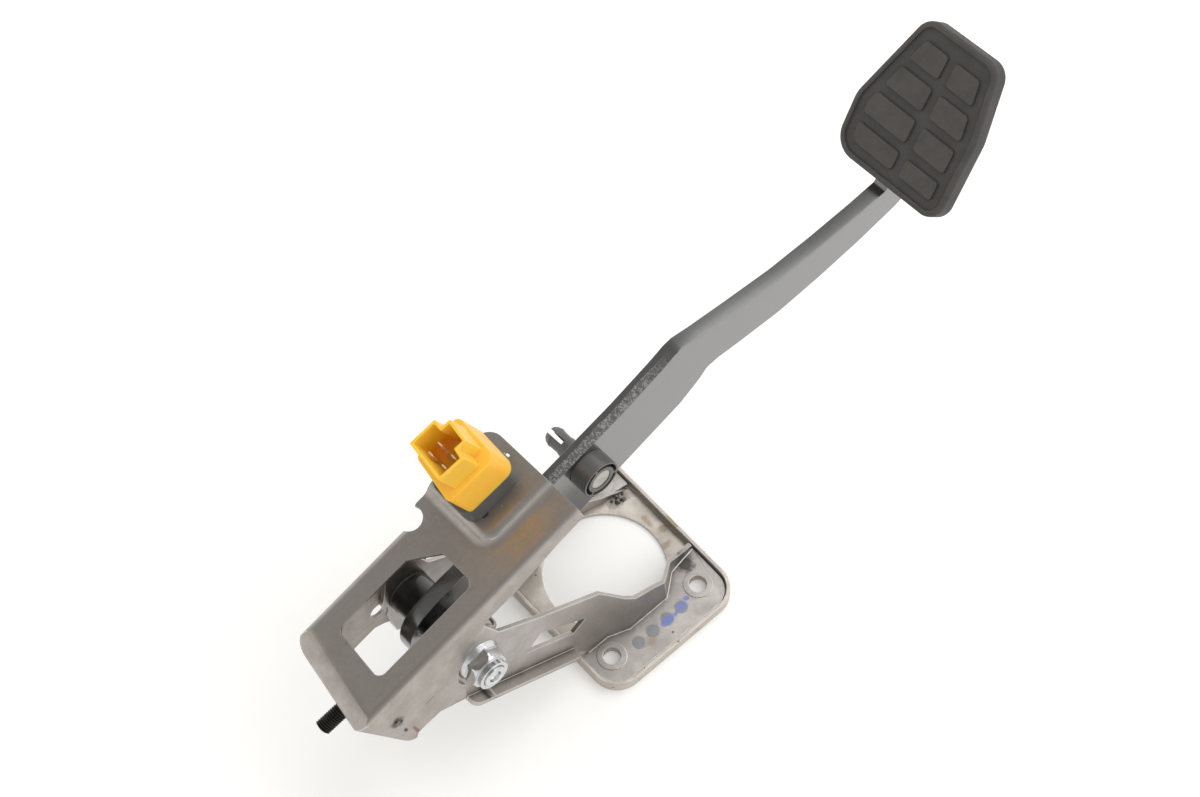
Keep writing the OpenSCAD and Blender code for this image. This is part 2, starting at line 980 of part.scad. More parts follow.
module stop_buffer() {
    color("black") {
        pedal_frame() {
            translate([buffer_x, buffer_y, 0]) {
                translate([0, 0, blade_top + press_gap + 4]) {
                    cylinder(d = buffer_diameter, h = field_top - hood_sheet - blade_top - press_gap - 4);
                }
                translate([0, 0, blade_top + press_gap + 1]) {
                    cylinder(d1 = 7, d2 = buffer_diameter, h = 3);
                }
                translate([0, 0, blade_top + press_gap]) {
                    cylinder(d = 7, h = 1);
                }
                translate([0, 0, blade_top + press_gap + 4]) {
                    cylinder(d = buffer_stem - press_gap, h = field_top - blade_top - press_gap - 4);
                }
            }
        }
    }
}

// Switch

module switch_frame(height) {
    pedal_frame() {
        translate([switch_x, switch_y, height]) {
            children();
        }
    }
}

module switch_base() {
    color("black") {
        switch_frame(field_top) {
            difference() {
                union() {
                    linear_extrude(height = switch_base_height) {
                        rounded_rect(switch_length, switch_width, 6);
                    }
                    translate([0, 0, neck_bottom - field_top]) {
                        cylinder(d = neck_diameter, h = field_top - neck_bottom);
                    }
                }
                translate([0, 0, neck_bottom - field_top - past]) {
                    cylinder(d = plunger_diameter + 2 * slide_gap, h = plunger_top - neck_bottom);
                }
                translate([0, 0, plunger_top - collar_height - press_gap - field_top]) {
                    cylinder(
                        d = plunger_collar + 2 * slide_gap,
                        h = collar_height + press_gap + spring_room
                    );
                }
            }
        }
    }
}

// Outline of the connector socket with its missing key corner, drawn in by an inset.
module socket_outline(inset) {
    key = 5.2;
    difference() {
        translate([-1.5, 0]) {
            square([socket_length - 2 * inset, socket_width - 2 * inset], center = true);
        }
        translate([socket_length / 2 - 1.5 - key - inset, socket_width / 2 - key - inset]) {
            square([key + past + inset, key + past + inset]);
        }
    }
}

// The four flat blades of the switch, drawn out by a distance.
module terminal_blades(grow) {
    terminal_x = [-6.7, -0.9];
    terminal_y = [-6, 3];
    switch_frame(field_top + switch_base_height + terminal_foot + terminal_length / 2) {
        for (x = terminal_x, y = terminal_y) {
            translate([x, y, 0]) {
                cube([0.8 + grow, 2.8 + grow, terminal_length + grow], center = true);
            }
        }
    }
}

module switch_connector() {
    block = socket_floor - 4;
    slope = 10;
    color("gold") {
        difference() {
            switch_frame(field_top + switch_base_height) {
                difference() {
                    union() {
                        linear_extrude(height = block) {
                            rounded_rect(switch_length - 1, switch_width - 1, 5);
                        }
                        hull() {
                            translate([0, 0, block - 1]) {
                                linear_extrude(height = 1, $fn = 32) {
                                    rounded_rect(switch_length - 1, switch_width - 1, 5);
                                }
                            }
                            translate([-1.5, 0, block + slope - 1]) {
                                linear_extrude(height = 1) {
                                    square([socket_length, socket_width], center = true);
                                }
                            }
                        }
                        linear_extrude(height = connector_height) {
                            socket_outline(0);
                        }
                    }
                    translate([0, 0, socket_floor]) {
                        linear_extrude(height = connector_height) {
                            socket_outline(1.6);
                        }
                    }
                }
            }
            terminal_blades(press_gap);
        }
    }
}

module switch_terminals() {
    color("white") {
        terminal_blades(0);
    }
}

module plunger_spring() {
    turns = 3;
    pitch = (spring_room - plunger_wire - press_gap) / turns;
    color("gray") {
        switch_frame(plunger_top + (press_gap + plunger_wire) / 2) {
            rotate([90, 0, 0]) {
                bent_wire(coil_path(2.6, 0, 360 * turns, 0, pitch), plunger_wire, [1, 0, 0], 8);
            }
        }
    }
}

module switch_plunger() {
    tip_height = 1;
    color("whitesmoke") {
        switch_frame(0) {
            translate([0, 0, plunger_tip + tip_height]) {
                cylinder(d = plunger_diameter, h = plunger_top - plunger_tip - tip_height);
            }
            translate([0, 0, plunger_tip]) {
                cylinder(d1 = plunger_diameter - 2, d2 = plunger_diameter, h = tip_height);
            }
            translate([0, 0, plunger_top - collar_height]) {
                cylinder(d = plunger_collar, h = collar_height);
            }
        }
    }
}

// Lever and what it carries

// A point of the pad's frame in the pedal frame, seen from the side.
function pad_point(along, above) = [
    pad_x + along * cos(pad_tilt) - above * sin(pad_tilt),
    pad_z + along * sin(pad_tilt) + above * cos(pad_tilt)
];

// Side outline of the blade: a round end at the pivot, then the long cranked arm, which ends
// against the underside of the pad plate.
module lever_outline() {
    boss = [for (angle = [90:6:270]) blade_boss * [cos(angle), sin(angle)]];
    plate_under = pad_lip - pad_thickness;
    lower = [
        [40, -blade_boss - 40 * blade_slope], [81, -20.4], [109, -18], [136, -16.4], [150, -15.6],
        [164, -11.8], [170, -9], [177, -10], [190, -14.6], [214, -22.2], [240, -27], [266, -30.3],
        [290, -31.8], [302, -30], pad_point(30, -30), pad_point(44, -24), pad_point(56, -15)
    ];
    upper = [
        pad_point(58, plate_under), pad_point(4, plate_under), [288, -12.6], [272, -10],
        [247, -4.7], [222, 1.8], [198, 10.7], [175, 19.7], [165, 24.3], [160, 24.6], [150, 23],
        [125, 20.8], [79, blade_top], [4, blade_top]
    ];
    polygon(concat(boss, lower, upper));
}

module lever() {
    color("black") {
        pedal_frame() {
            difference() {
                upright(blade_offset, blade_far) {
                    lever_outline();
                }
                crosswise_bar(hub_diameter / 2, 0, arm_far);
                translate([rod_pin_reach, 0, rod_pin_height]) {
                    crosswise_bar(bush_shank / 2, 0, arm_far);
                }
            }
        }
    }
}

module switch_striker() {
    color("black") {
        pedal_frame() {
            translate([switch_x - striker_length / 2, blade_far, blade_top - striker_sheet]) {
                cube([striker_length, switch_y + 5 - blade_far, striker_sheet]);
            }
            translate([switch_x - striker_length / 2, blade_far, blade_top - 16]) {
                cube([striker_length, striker_sheet, 16]);
            }
        }
    }
}

// The pin bush: ribbed head on the near side, shank through the blade, then the round seat of the
// push rod's eye and two snap prongs.
module rod_bush() {
    head_radius = rod_bush_diameter / 2;
    pin_radius = rod_pin_diameter / 2;
    near = blade_offset - rod_bush_reach;
    seat_end = blade_far + rod_seat_length;
    tip = blade_far + prong_reach;
    groove = 1.6;
    rib = 1.4;
    slot = 2.6;
    color("black") {
        pedal_frame() {
            translate([rod_pin_reach, 0, rod_pin_height]) {
                difference() {
                    union() {
                        crosswise_bar(head_radius, near, blade_offset);
                        crosswise_bar(bush_shank / 2, blade_offset, blade_far);
                        crosswise_bar(rod_seat_diameter / 2, blade_far, seat_end);
                        translate([0, seat_end, 0]) {
                            rotate([-90, 0, 0]) {
                                cylinder(r1 = pin_radius, r2 = pin_radius - 1.3, h = tip - seat_end);
                            }
                        }
                    }
                    crosswise_bar(pin_radius, near - past, blade_far + rod_seat_length / 2);
                    crosswise_bar(pin_radius - 2.3, near, tip + past);
                    difference() {
                        crosswise_bar(head_radius - 1, near - past, near + 4);
                        crosswise_bar(head_radius - 1 - groove, near - 2 * past, near + 5);
                        for (angle = [30, 150, 270]) {
                            rotate([0, angle, 0]) {
                                translate([0, near - past, -rib / 2]) {
                                    cube([head_radius, 7, rib]);
                                }
                            }
                        }
                    }
                    translate([-head_radius, seat_end - 2, -slot / 2]) {
                        cube([2 * head_radius, prong_reach, slot]);
                    }
                }
            }
        }
    }
}

module rod_pin() {
    near = blade_offset - rod_bush_reach;
    color("lightgray") {
        pedal_frame() {
            translate([rod_pin_reach, 0, rod_pin_height]) {
                crosswise_bar(rod_pin_diameter / 2, near + 0.4, blade_far + rod_seat_length / 2);
            }
        }
    }
}

// Foot pad

// Pad frame: x along the pad away from the pivot, z up from the rim of its face.
module pad_frame(height) {
    pedal_frame() {
        translate([pad_x, 0, pad_z]) {
            rotate([0, -pad_tilt, 0]) {
                translate([0, 0, height]) {
                    children();
                }
            }
        }
    }
}

// Pad outline, slanted to the foot, drawn out by a distance: corner circles as x, y and radius.
module pad_outline(grow) {
    corners = [
        [17, 46.5, 13], [31, 46, 15.5], [71.8, 42.5, 9.5], [72, 12.5, 10], [44, 11, 16], [13.5, 1, 9]
    ];
    hull() {
        for (c = corners) {
            translate([c[0], c[1]]) {
                circle(r = c[2] + grow, $fn = 48);
            }
        }
    }
}

// The raised blocks: rows across the pad, parted by a slanted gap and kept clear of the rim.
module pad_blocks() {
    last_end = 71.5;
    middle_start = 21.5;
    middle_end = 29;
    half_gap = pad_block_gap / 2;
    intersection() {
        pad_outline(-pad_rim - pad_block_gap);
        difference() {
            for (row = [0:pad_rows - 1]) {
                translate([last_end - (row + 1) * pad_row_pitch + pad_block_gap, -20]) {
                    square([pad_row_pitch - pad_block_gap, 100]);
                }
            }
            polygon([
                [0, middle_start - half_gap], [90, middle_end - half_gap],
                [90, middle_end + half_gap], [0, middle_start + half_gap]
            ]);
        }
    }
}

module pad_rubber() {
    color("black") {
        difference() {
            pad_frame(-pad_thickness) {
                linear_extrude(height = pad_thickness) {
                    pad_outline(0);
                }
            }
            pad_frame(-pad_recess) {
                linear_extrude(height = pad_recess + past) {
                    pad_outline(-pad_rim);
                }
            }
            pad_frame(-pad_thickness - past) {
                linear_extrude(height = pad_lip + 2 * past) {
                    pad_outline(-2 * pad_rim);
                }
            }
            pad_frame(pad_lip - pad_thickness) {
                linear_extrude(height = pad_sheet) {
                    pad_outline(-pad_rim);
                }
            }
            pad_frame(-pad_thickness - past) {
                translate([-past, blade_offset - slide_gap, 0]) {
                    cube([4 * pad_rim, blade_thickness + 2 * slide_gap, pad_lip + past]);
                }
            }
        }
        pad_frame(-pad_recess - past) {
            linear_extrude(height = pad_recess + past) {
                pad_blocks();
            }
        }
    }
}

module pad_plate() {
    color("dimgray") {
        pad_frame(pad_lip - pad_thickness) {
            linear_extrude(height = pad_sheet) {
                pad_outline(-pad_rim);
            }
        }
    }
}
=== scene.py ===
"""Looks of a clutch pedal with its mounting bracket, laid on a pale studio floor.

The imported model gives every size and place. This script rounds the edges of its sheet metal,
rubber and plastic pieces, cuts the stud's thread, forms the switch's connector and the push rod
bush's prongs, adds the welds, gives each piece its finish, and sets up the floor, the light and
the camera.
"""

from __future__ import annotations

import json
import logging
import math
from collections.abc import Callable, Iterator, Sequence
from contextlib import contextmanager
from dataclasses import dataclass, field
from enum import Enum

import bmesh
import bpy
from mathutils import Matrix, Vector

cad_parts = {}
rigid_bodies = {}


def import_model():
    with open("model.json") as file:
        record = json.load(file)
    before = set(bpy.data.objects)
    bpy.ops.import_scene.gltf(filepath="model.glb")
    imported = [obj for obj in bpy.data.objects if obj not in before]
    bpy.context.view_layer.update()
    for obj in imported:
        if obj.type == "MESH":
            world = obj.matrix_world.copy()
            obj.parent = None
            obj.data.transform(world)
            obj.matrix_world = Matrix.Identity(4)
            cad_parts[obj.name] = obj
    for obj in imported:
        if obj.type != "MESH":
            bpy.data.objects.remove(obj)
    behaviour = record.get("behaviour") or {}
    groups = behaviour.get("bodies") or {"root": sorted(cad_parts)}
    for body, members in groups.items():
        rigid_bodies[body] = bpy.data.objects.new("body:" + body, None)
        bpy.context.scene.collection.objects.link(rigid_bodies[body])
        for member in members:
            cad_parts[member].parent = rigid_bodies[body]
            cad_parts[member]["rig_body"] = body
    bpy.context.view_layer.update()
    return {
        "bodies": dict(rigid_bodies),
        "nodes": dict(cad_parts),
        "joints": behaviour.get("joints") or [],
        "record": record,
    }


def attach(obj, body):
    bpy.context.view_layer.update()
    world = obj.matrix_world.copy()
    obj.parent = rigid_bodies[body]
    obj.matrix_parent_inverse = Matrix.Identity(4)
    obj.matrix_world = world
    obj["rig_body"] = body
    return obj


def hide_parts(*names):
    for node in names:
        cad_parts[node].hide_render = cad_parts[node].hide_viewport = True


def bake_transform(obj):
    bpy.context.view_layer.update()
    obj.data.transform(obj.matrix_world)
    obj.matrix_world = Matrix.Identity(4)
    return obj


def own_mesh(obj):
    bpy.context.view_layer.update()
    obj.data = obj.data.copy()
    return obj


log = logging.getLogger("pedal")

Colour = tuple[float, float, float]
Point = tuple[float, float, float]
Span = tuple[float, float]
Outline = Sequence[Span]
Lump = tuple[Point, Point, float]
Value = object

MM = 0.001
MERGE = 0.002 * MM


def millimetres(x: float, y: float, z: float) -> Vector:
    """A point given in millimetres, in metres."""
    return Vector((x, y, z)) * MM


PIVOT_FRAME = Matrix.Translation(millimetres(-94, -18.2, 77.5)) @ Matrix.Rotation(
    math.radians(-7), 4, "X"
)
PEDAL_FRAME = PIVOT_FRAME @ Matrix.Rotation(math.radians(-14.4), 4, "Y")
PAD_FRAME = (
    PEDAL_FRAME
    @ Matrix.Translation(millimetres(284, 0, -5.9))
    @ Matrix.Rotation(math.radians(-30), 4, "Y")
)
END_FRAME = (
    PEDAL_FRAME
    @ Matrix.Translation(millimetres(-56.897, 27, 24.121))
    @ Matrix.Rotation(math.radians(-9.2), 4, "Z")
)
STUD_FRAME = (
    END_FRAME
    @ Matrix.Translation(millimetres(2.817, -1.6, -12.3))
    @ Matrix.Rotation(math.radians(-102.9), 4, "Y")
)
PART_FRAME = Matrix.Identity(4)

EDGE_REACH = 0.98
SHARPEST_TURN = 3.0
LEAST_PINCH = 0.001
PINCH_SHARE = 1.8
ACROSS_SHARE = 0.45


class Body(Enum):
    """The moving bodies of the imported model."""

    BRACKET = "bracket"
    PEDAL = "pedal"
    PLUNGER = "plunger"


class Join(Enum):
    """What becomes of two pieces that overlap."""

    UNITE = "UNION"
    CUT = "DIFFERENCE"


class Workshop:
    """Modelling steps that every piece shares."""

    least_rounding: float = 0.2
    thread_shares: Point = (0.12, 0.48, 0.64)
    thread_steps: int = 32
    lump_unevenness: float = 0.06
    lump_seeds: int = 97

    @staticmethod
    def clear() -> None:
        """Leave edit mode and deselect everything."""
        if bpy.context.object and bpy.context.object.mode != "OBJECT":
            bpy.ops.object.mode_set(mode="OBJECT")
        bpy.ops.object.select_all(action="DESELECT")

    @staticmethod
    def take(piece: bpy.types.Object) -> None:
        """Select one piece only and make it active."""
        Workshop.clear()
        piece.select_set(True)
        bpy.context.view_layer.objects.active = piece

    @staticmethod
    @contextmanager
    def editing(piece: bpy.types.Object, mode: str = "VERT") -> Iterator[None]:
        """Edit one piece with all of it selected.

        Args:
            piece: The mesh object to edit.
            mode: What is selected: VERT, EDGE or FACE.
        """
        Workshop.take(piece)
        bpy.ops.object.mode_set(mode="EDIT")
        bpy.ops.mesh.select_mode(type=mode)
        bpy.ops.mesh.select_all(action="SELECT")
        try:
            yield
        finally:
            bpy.ops.object.mode_set(mode="OBJECT")

    @staticmethod
    def pick_edges(piece: bpy.types.Object, test: Callable[[bmesh.types.BMEdge], bool]) -> int:
        """Select in edit mode the edges that pass a test.

        Args:
            piece: The mesh object in edit mode.
            test: Says whether an edge is selected.

        Returns:
            How many edges were selected.
        """
        bpy.ops.mesh.select_mode(type="EDGE")
        bpy.ops.mesh.select_all(action="DESELECT")
        mesh = bmesh.from_edit_mesh(piece.data)
        mesh.normal_update()
        chosen = [edge for edge in mesh.edges if test(edge)]
        for edge in chosen:
            edge.select_set(True)
        bmesh.update_edit_mesh(piece.data)
        return len(chosen)

    @staticmethod
    def bevel_edges(
        piece: bpy.types.Object,
        width: float,
        segments: int,
        test: Callable[[bmesh.types.BMEdge], bool],
    ) -> None:
        """Round the edges that pass a test.

        Args:
            piece: The mesh object.
            width: Width of the rounding, mm.
            segments: Faces across the rounding.
            test: Says whether an edge is rounded.
        """
        with Workshop.editing(piece):
            found = Workshop.pick_edges(piece, test)
            if found:
                bpy.ops.mesh.bevel(offset=width * MM, segments=segments, profile=0.5)
        log.debug("%s: %d edges rounded by %.2f mm", piece.name, found, width)

    @staticmethod
    def mark_roundings(piece: bpy.types.Object, width: float, sharp: float) -> None:
        """Weigh the sharp edges for the bevel, each no wider than its faces have room for.

        Args:
            piece: The mesh object.
            width: Full width of the rounding, mm.
            sharp: Angle above which an edge is sharp, degrees.
        """
        with Workshop.editing(piece, "EDGE"):
            mesh = bmesh.from_edit_mesh(piece.data)
            mesh.normal_update()
            weights = mesh.edges.layers.float.new("bevel_weight_edge")
            left = {edge for edge in mesh.edges if abs(edge_fold(edge)) > sharp}
            while left:
                line = edge_line(left.pop(), left)
                share = min(edge_room(edge) for edge in line) / (width * MM)
                for edge in line:
                    edge[weights] = min(max(share, Workshop.least_rounding), 1.0)
            bmesh.update_edit_mesh(piece.data)

    @staticmethod
    def apply(piece: bpy.types.Object, kind: str, **settings: Value) -> None:
        """Add a modifier, set it and apply it.

        Args:
            piece: The mesh object.
            kind: Type of the modifier.
            **settings: Its properties.
        """
        Workshop.take(piece)
        modifier = piece.modifiers.new(kind.title(), kind)
        for name, value in settings.items():
            setattr(modifier, name, value)
        bpy.ops.object.modifier_apply(modifier=modifier.name)

    @staticmethod
    def smooth(piece: bpy.types.Object, angle: float = 32.0) -> None:
        """Shade a piece smooth but for its sharp edges, which lie at more than the angle."""
        Workshop.take(piece)
        bpy.ops.object.shade_smooth_by_angle(angle=math.radians(angle))

    @staticmethod
    def turn_outward(piece: bpy.types.Object) -> None:
        """Merge doubled points and point the faces outward."""
        with Workshop.editing(piece):
            bpy.ops.mesh.remove_doubles(threshold=MERGE)
            bpy.ops.mesh.normals_make_consistent(inside=False)

    @staticmethod
    def settle(piece: bpy.types.Object, name: str, place: Matrix) -> bpy.types.Object:
        """Carry a piece into the part's frame, with its place in its mesh.

        Args:
            piece: The piece, modelled in a frame of its own.
            name: The piece's name.
            place: That frame in the part's frame.

        Returns:
            The piece.
        """
        Workshop.take(piece)
        piece.name = name
        piece.data.name = name
        piece.matrix_world = place @ piece.matrix_world
        bpy.ops.object.transform_apply(location=True, rotation=True, scale=True)
        return piece

    @staticmethod
    def join(pieces: list[bpy.types.Object], name: str) -> bpy.types.Object:
        """Join several pieces into one.

        Args:
            pieces: The pieces.
            name: Name of the whole.

        Returns:
            The first piece, which now holds them all.
        """
        Workshop.clear()
        for piece in pieces:
            piece.select_set(True)
        bpy.context.view_layer.objects.active = pieces[0]
        bpy.ops.object.join()
        pieces[0].name = name
        pieces[0].data.name = name
        return pieces[0]

    @staticmethod
    def dot(place: Point) -> bpy.types.Object:
        """Start a piece as one point, and stay in edit mode to draw on.

        Args:
            place: The point, mm.

        Returns:
            The piece, with its point selected.
        """
        Workshop.clear()
        bpy.ops.mesh.primitive_plane_add(size=MM, location=millimetres(*place))
        piece = bpy.context.object
        bpy.ops.object.transform_apply(location=True, rotation=True, scale=True)
        bpy.ops.object.mode_set(mode="EDIT")
        bpy.ops.mesh.select_mode(type="VERT")
        bpy.ops.mesh.select_all(action="SELECT")
        bpy.ops.mesh.merge(type="CENTER")
        return piece

    @staticmethod
    def profile(points: Outline) -> bpy.types.Object:
        """Draw a line of points in the XZ plane, as the half section of a turned piece.

        Args:
            points: Radius and height of each point, mm.

        Returns:
            The line as a mesh object.
        """
        radius, height = points[0]
        line = Workshop.dot((radius, 0, height))
        for (r0, z0), (r1, z1) in zip(points, points[1:]):
            bpy.ops.mesh.extrude_region_move(
                TRANSFORM_OT_translate={"value": ((r1 - r0) * MM, 0, (z1 - z0) * MM)}
            )
        bpy.ops.object.mode_set(mode="OBJECT")
        return line

    @staticmethod
    def lathe(points: Outline, steps: int = 48) -> bpy.types.Object:
        """Turn a half section about the Z axis.

        Args:
            points: Radius and height of each point, mm.
            steps: Faces round the piece.

        Returns:
            The turned piece.
        """
        piece = Workshop.profile(points)
        with Workshop.editing(piece):
            bpy.ops.mesh.spin(
                steps=steps, angle=math.tau, center=(0, 0, 0), axis=(0, 0, 1), use_auto_merge=True
            )
        Workshop.turn_outward(piece)
        return piece

    @staticmethod
    def prism(outline: Outline, foot: float, rise: Point) -> bpy.types.Object:
        """Draw a closed outline, fill it and extrude it along a leaning line.

        Args:
            outline: Its corners in the XY plane, mm.
            foot: Height of the outline, mm.
            rise: Where the extrusion takes it, mm.

        Returns:
            The closed prism.
        """
        piece = Workshop.dot((*outline[0], foot))
        for (x0, y0), (x1, y1) in zip(outline, [*outline[1:], outline[0]]):
            bpy.ops.mesh.extrude_region_move(
                TRANSFORM_OT_translate={"value": ((x1 - x0) * MM, (y1 - y0) * MM, 0)}
            )
        bpy.ops.mesh.select_all(action="SELECT")
        bpy.ops.mesh.remove_doubles(threshold=MERGE)
        bpy.ops.mesh.edge_face_add()
        bpy.ops.mesh.select_mode(type="FACE")
        bpy.ops.mesh.extrude_region_move(TRANSFORM_OT_translate={"value": millimetres(*rise)})
        bpy.ops.mesh.select_all(action="SELECT")
        bpy.ops.mesh.normals_make_consistent(inside=False)
        bpy.ops.object.mode_set(mode="OBJECT")
        return piece

    @staticmethod
    def combine(piece: bpy.types.Object, other: bpy.types.Object, join: Join) -> None:
        """Unite a piece with another or cut the other out of it, and drop the other.

        Args:
            piece: The piece that stays.
            other: The piece that goes.
            join: Whether the other is united or cut out.
        """
        Workshop.apply(piece, "BOOLEAN", object=other, operation=join.value, solver="EXACT")
        bpy.data.objects.remove(other)

    @staticmethod
    def thread(
        radius: float, pitch: float, depth: float, start: float, end: float
    ) -> bpy.types.Object:
        """Cut a screw thread about the Z axis, planed flat at both ends.

        Args:
            radius: Outside radius, mm.
            pitch: Distance from one turn to the next, mm.
            depth: Depth of the thread, mm.
            start: Height of its lower end, mm.
            end: Height of its upper end, mm.

        Returns:
            The closed threaded rod.
        """
        root = radius - depth
        first = start - 2 * pitch
        turns = math.ceil((end - start) / pitch) + 4
        flank, crest, fall = (first + share * pitch for share in Workshop.thread_shares)
        piece = Workshop.profile(
            [
                (root, first),
                (root, flank),
                (radius, crest),
                (radius, fall),
                (root, first + pitch),
            ]
        )
        Workshop.apply(
            piece,
            "SCREW",
            angle=math.tau,
            steps=Workshop.thread_steps,
            render_steps=Workshop.thread_steps,
            screw_offset=pitch * MM,
            iterations=turns,
            use_merge_vertices=True,
            merge_threshold=MERGE,
        )
        with Workshop.editing(piece):
            bpy.ops.mesh.remove_doubles(threshold=MERGE)
            for height, outward in ((start, -1), (end, 1)):
                bpy.ops.mesh.select_all(action="SELECT")
                bpy.ops.mesh.bisect(
                    plane_co=(0, 0, height * MM),
                    plane_no=(0, 0, outward),
                    use_fill=True,
                    clear_outer=True,
                )
            bpy.ops.mesh.select_all(action="SELECT")
            bpy.ops.mesh.normals_make_consistent(inside=False)
        return piece

    @staticmethod
    def blob(place: Point, size: Point, turn: float = 0.0) -> bpy.types.Object:
        """Model one lump of weld metal: a squashed ball with a slightly uneven skin.

        Args:
            place: Its middle in the part's frame, mm.
            size: Its half sizes, mm.
            turn: Its turn about Z, degrees.

        Returns:
            The lump.
        """
        Workshop.clear()
        bpy.ops.mesh.primitive_ico_sphere_add(
            subdivisions=3,
            radius=MM,
            location=millimetres(*place),
            rotation=(0, 0, math.radians(turn)),
        )
        lump = bpy.context.object
        lump.scale = size
        bpy.ops.object.transform_apply(location=False, rotation=False, scale=True)
        with Workshop.editing(lump):
            bpy.ops.transform.vertex_random(
                offset=Workshop.lump_unevenness * min(size) * MM,
                seed=int(place[0]) % Workshop.lump_seeds,
            )
        bpy.ops.object.transform_apply(location=True, rotation=True, scale=True)
        return lump


def edge_points(edge: bmesh.types.BMEdge, frame: Matrix) -> tuple[Vector, Vector]:
    """Carry both ends of an edge into a frame.

    Args:
        edge: The edge.
        frame: The frame.

    Returns:
        Its ends in that frame, mm.
    """
    back = frame.inverted()
    return (back @ edge.verts[0].co) / MM, (back @ edge.verts[1].co) / MM


def edge_fold(edge: bmesh.types.BMEdge) -> float:
    """Angle between the two faces at an edge, degrees, positive where it stands out."""
    if len(edge.link_faces) != 2:
        return 0.0
    return math.degrees(edge.calc_face_angle_signed(0.0))


def edge_line(
    first: bmesh.types.BMEdge, left: set[bmesh.types.BMEdge]
) -> list[bmesh.types.BMEdge]:
    """Gather the smooth line of edges that an edge lies on.

    Args:
        first: The edge to start from.
        left: The edges that may join the line. Those that do are taken out.

    Returns:
        The line's edges.
    """
    line = [first]
    for edge in line:
        for vert in edge.verts:
            for other in set(vert.link_edges) & left:
                ways = [(e.other_vert(vert).co - vert.co).normalized() for e in (edge, other)]
                if ways[0].dot(ways[1]) < -0.8:
                    left.discard(other)
                    line.append(other)
    return line


def drawn_in(outline: Outline, wall: float) -> list[Span]:
    """Draw an outline that runs anticlockwise inwards by the thickness of a wall.

    Args:
        outline: Its corners, mm.
        wall: The wall's thickness, mm.

    Returns:
        The inner corners, mm.
    """
    inner = []
    for index, corner in enumerate(outline):
        here = Vector(corner)
        before = (here - Vector(outline[index - 1])).normalized()
        after = (Vector(outline[(index + 1) % len(outline)]) - here).normalized()
        inward = Vector((-before.y, before.x)) + Vector((-after.y, after.x))
        inner.append(tuple(here + inward * (wall / (1 + before.dot(after)))))
    return inner


def edge_room(edge: bmesh.types.BMEdge) -> float:
    """Measure how wide an edge can be rounded before one of its faces runs out.

    Args:
        edge: The edge.

    Returns:
        The width, m.
    """
    half = edge.calc_length() / 2
    middle = (edge.verts[0].co + edge.verts[1].co) / 2
    reach = EDGE_REACH * half
    room = 1.0
    for own in edge.link_loops:
        before, after = own.link_loop_prev, own.link_loop_next
        along = (after.vert.co - own.vert.co).normalized()
        inward = own.face.normal.cross(along)
        incoming = (own.vert.co - before.vert.co).normalized()
        outgoing = (after.link_loop_next.vert.co - after.vert.co).normalized()
        turns = (
            math.atan2(-incoming.dot(inward), incoming.dot(along)),
            math.atan2(outgoing.dot(inward), outgoing.dot(along)),
        )
        pinch = sum(math.tan(min(max(turn, 0.0), SHARPEST_TURN) / 2) for turn in turns)
        if pinch > LEAST_PINCH:
            room = min(room, PINCH_SHARE * half / pinch)
        for other in own.face.loops:
            if other in (own, before, after):
                continue
            ends = [point - middle for point in (other.vert.co, other.link_loop_next.vert.co)]
            (u0, v0), (u1, v1) = ((end.dot(along), end.dot(inward)) for end in ends)
            if min(u0, u1) < reach and max(u0, u1) > -reach and max(v0, v1) > 0:
                slope = (v1 - v0) / (u1 - u0) if abs(u1 - u0) > 1e-9 else 0.0
                spots = [min(max(u, -reach), reach) for u in (u0, u1)]
                across = min(v0 + slope * (u - u0) for u in spots) if slope else min(v0, v1)
                if across > 0:
                    room = min(room, ACROSS_SHARE * across)
    return room


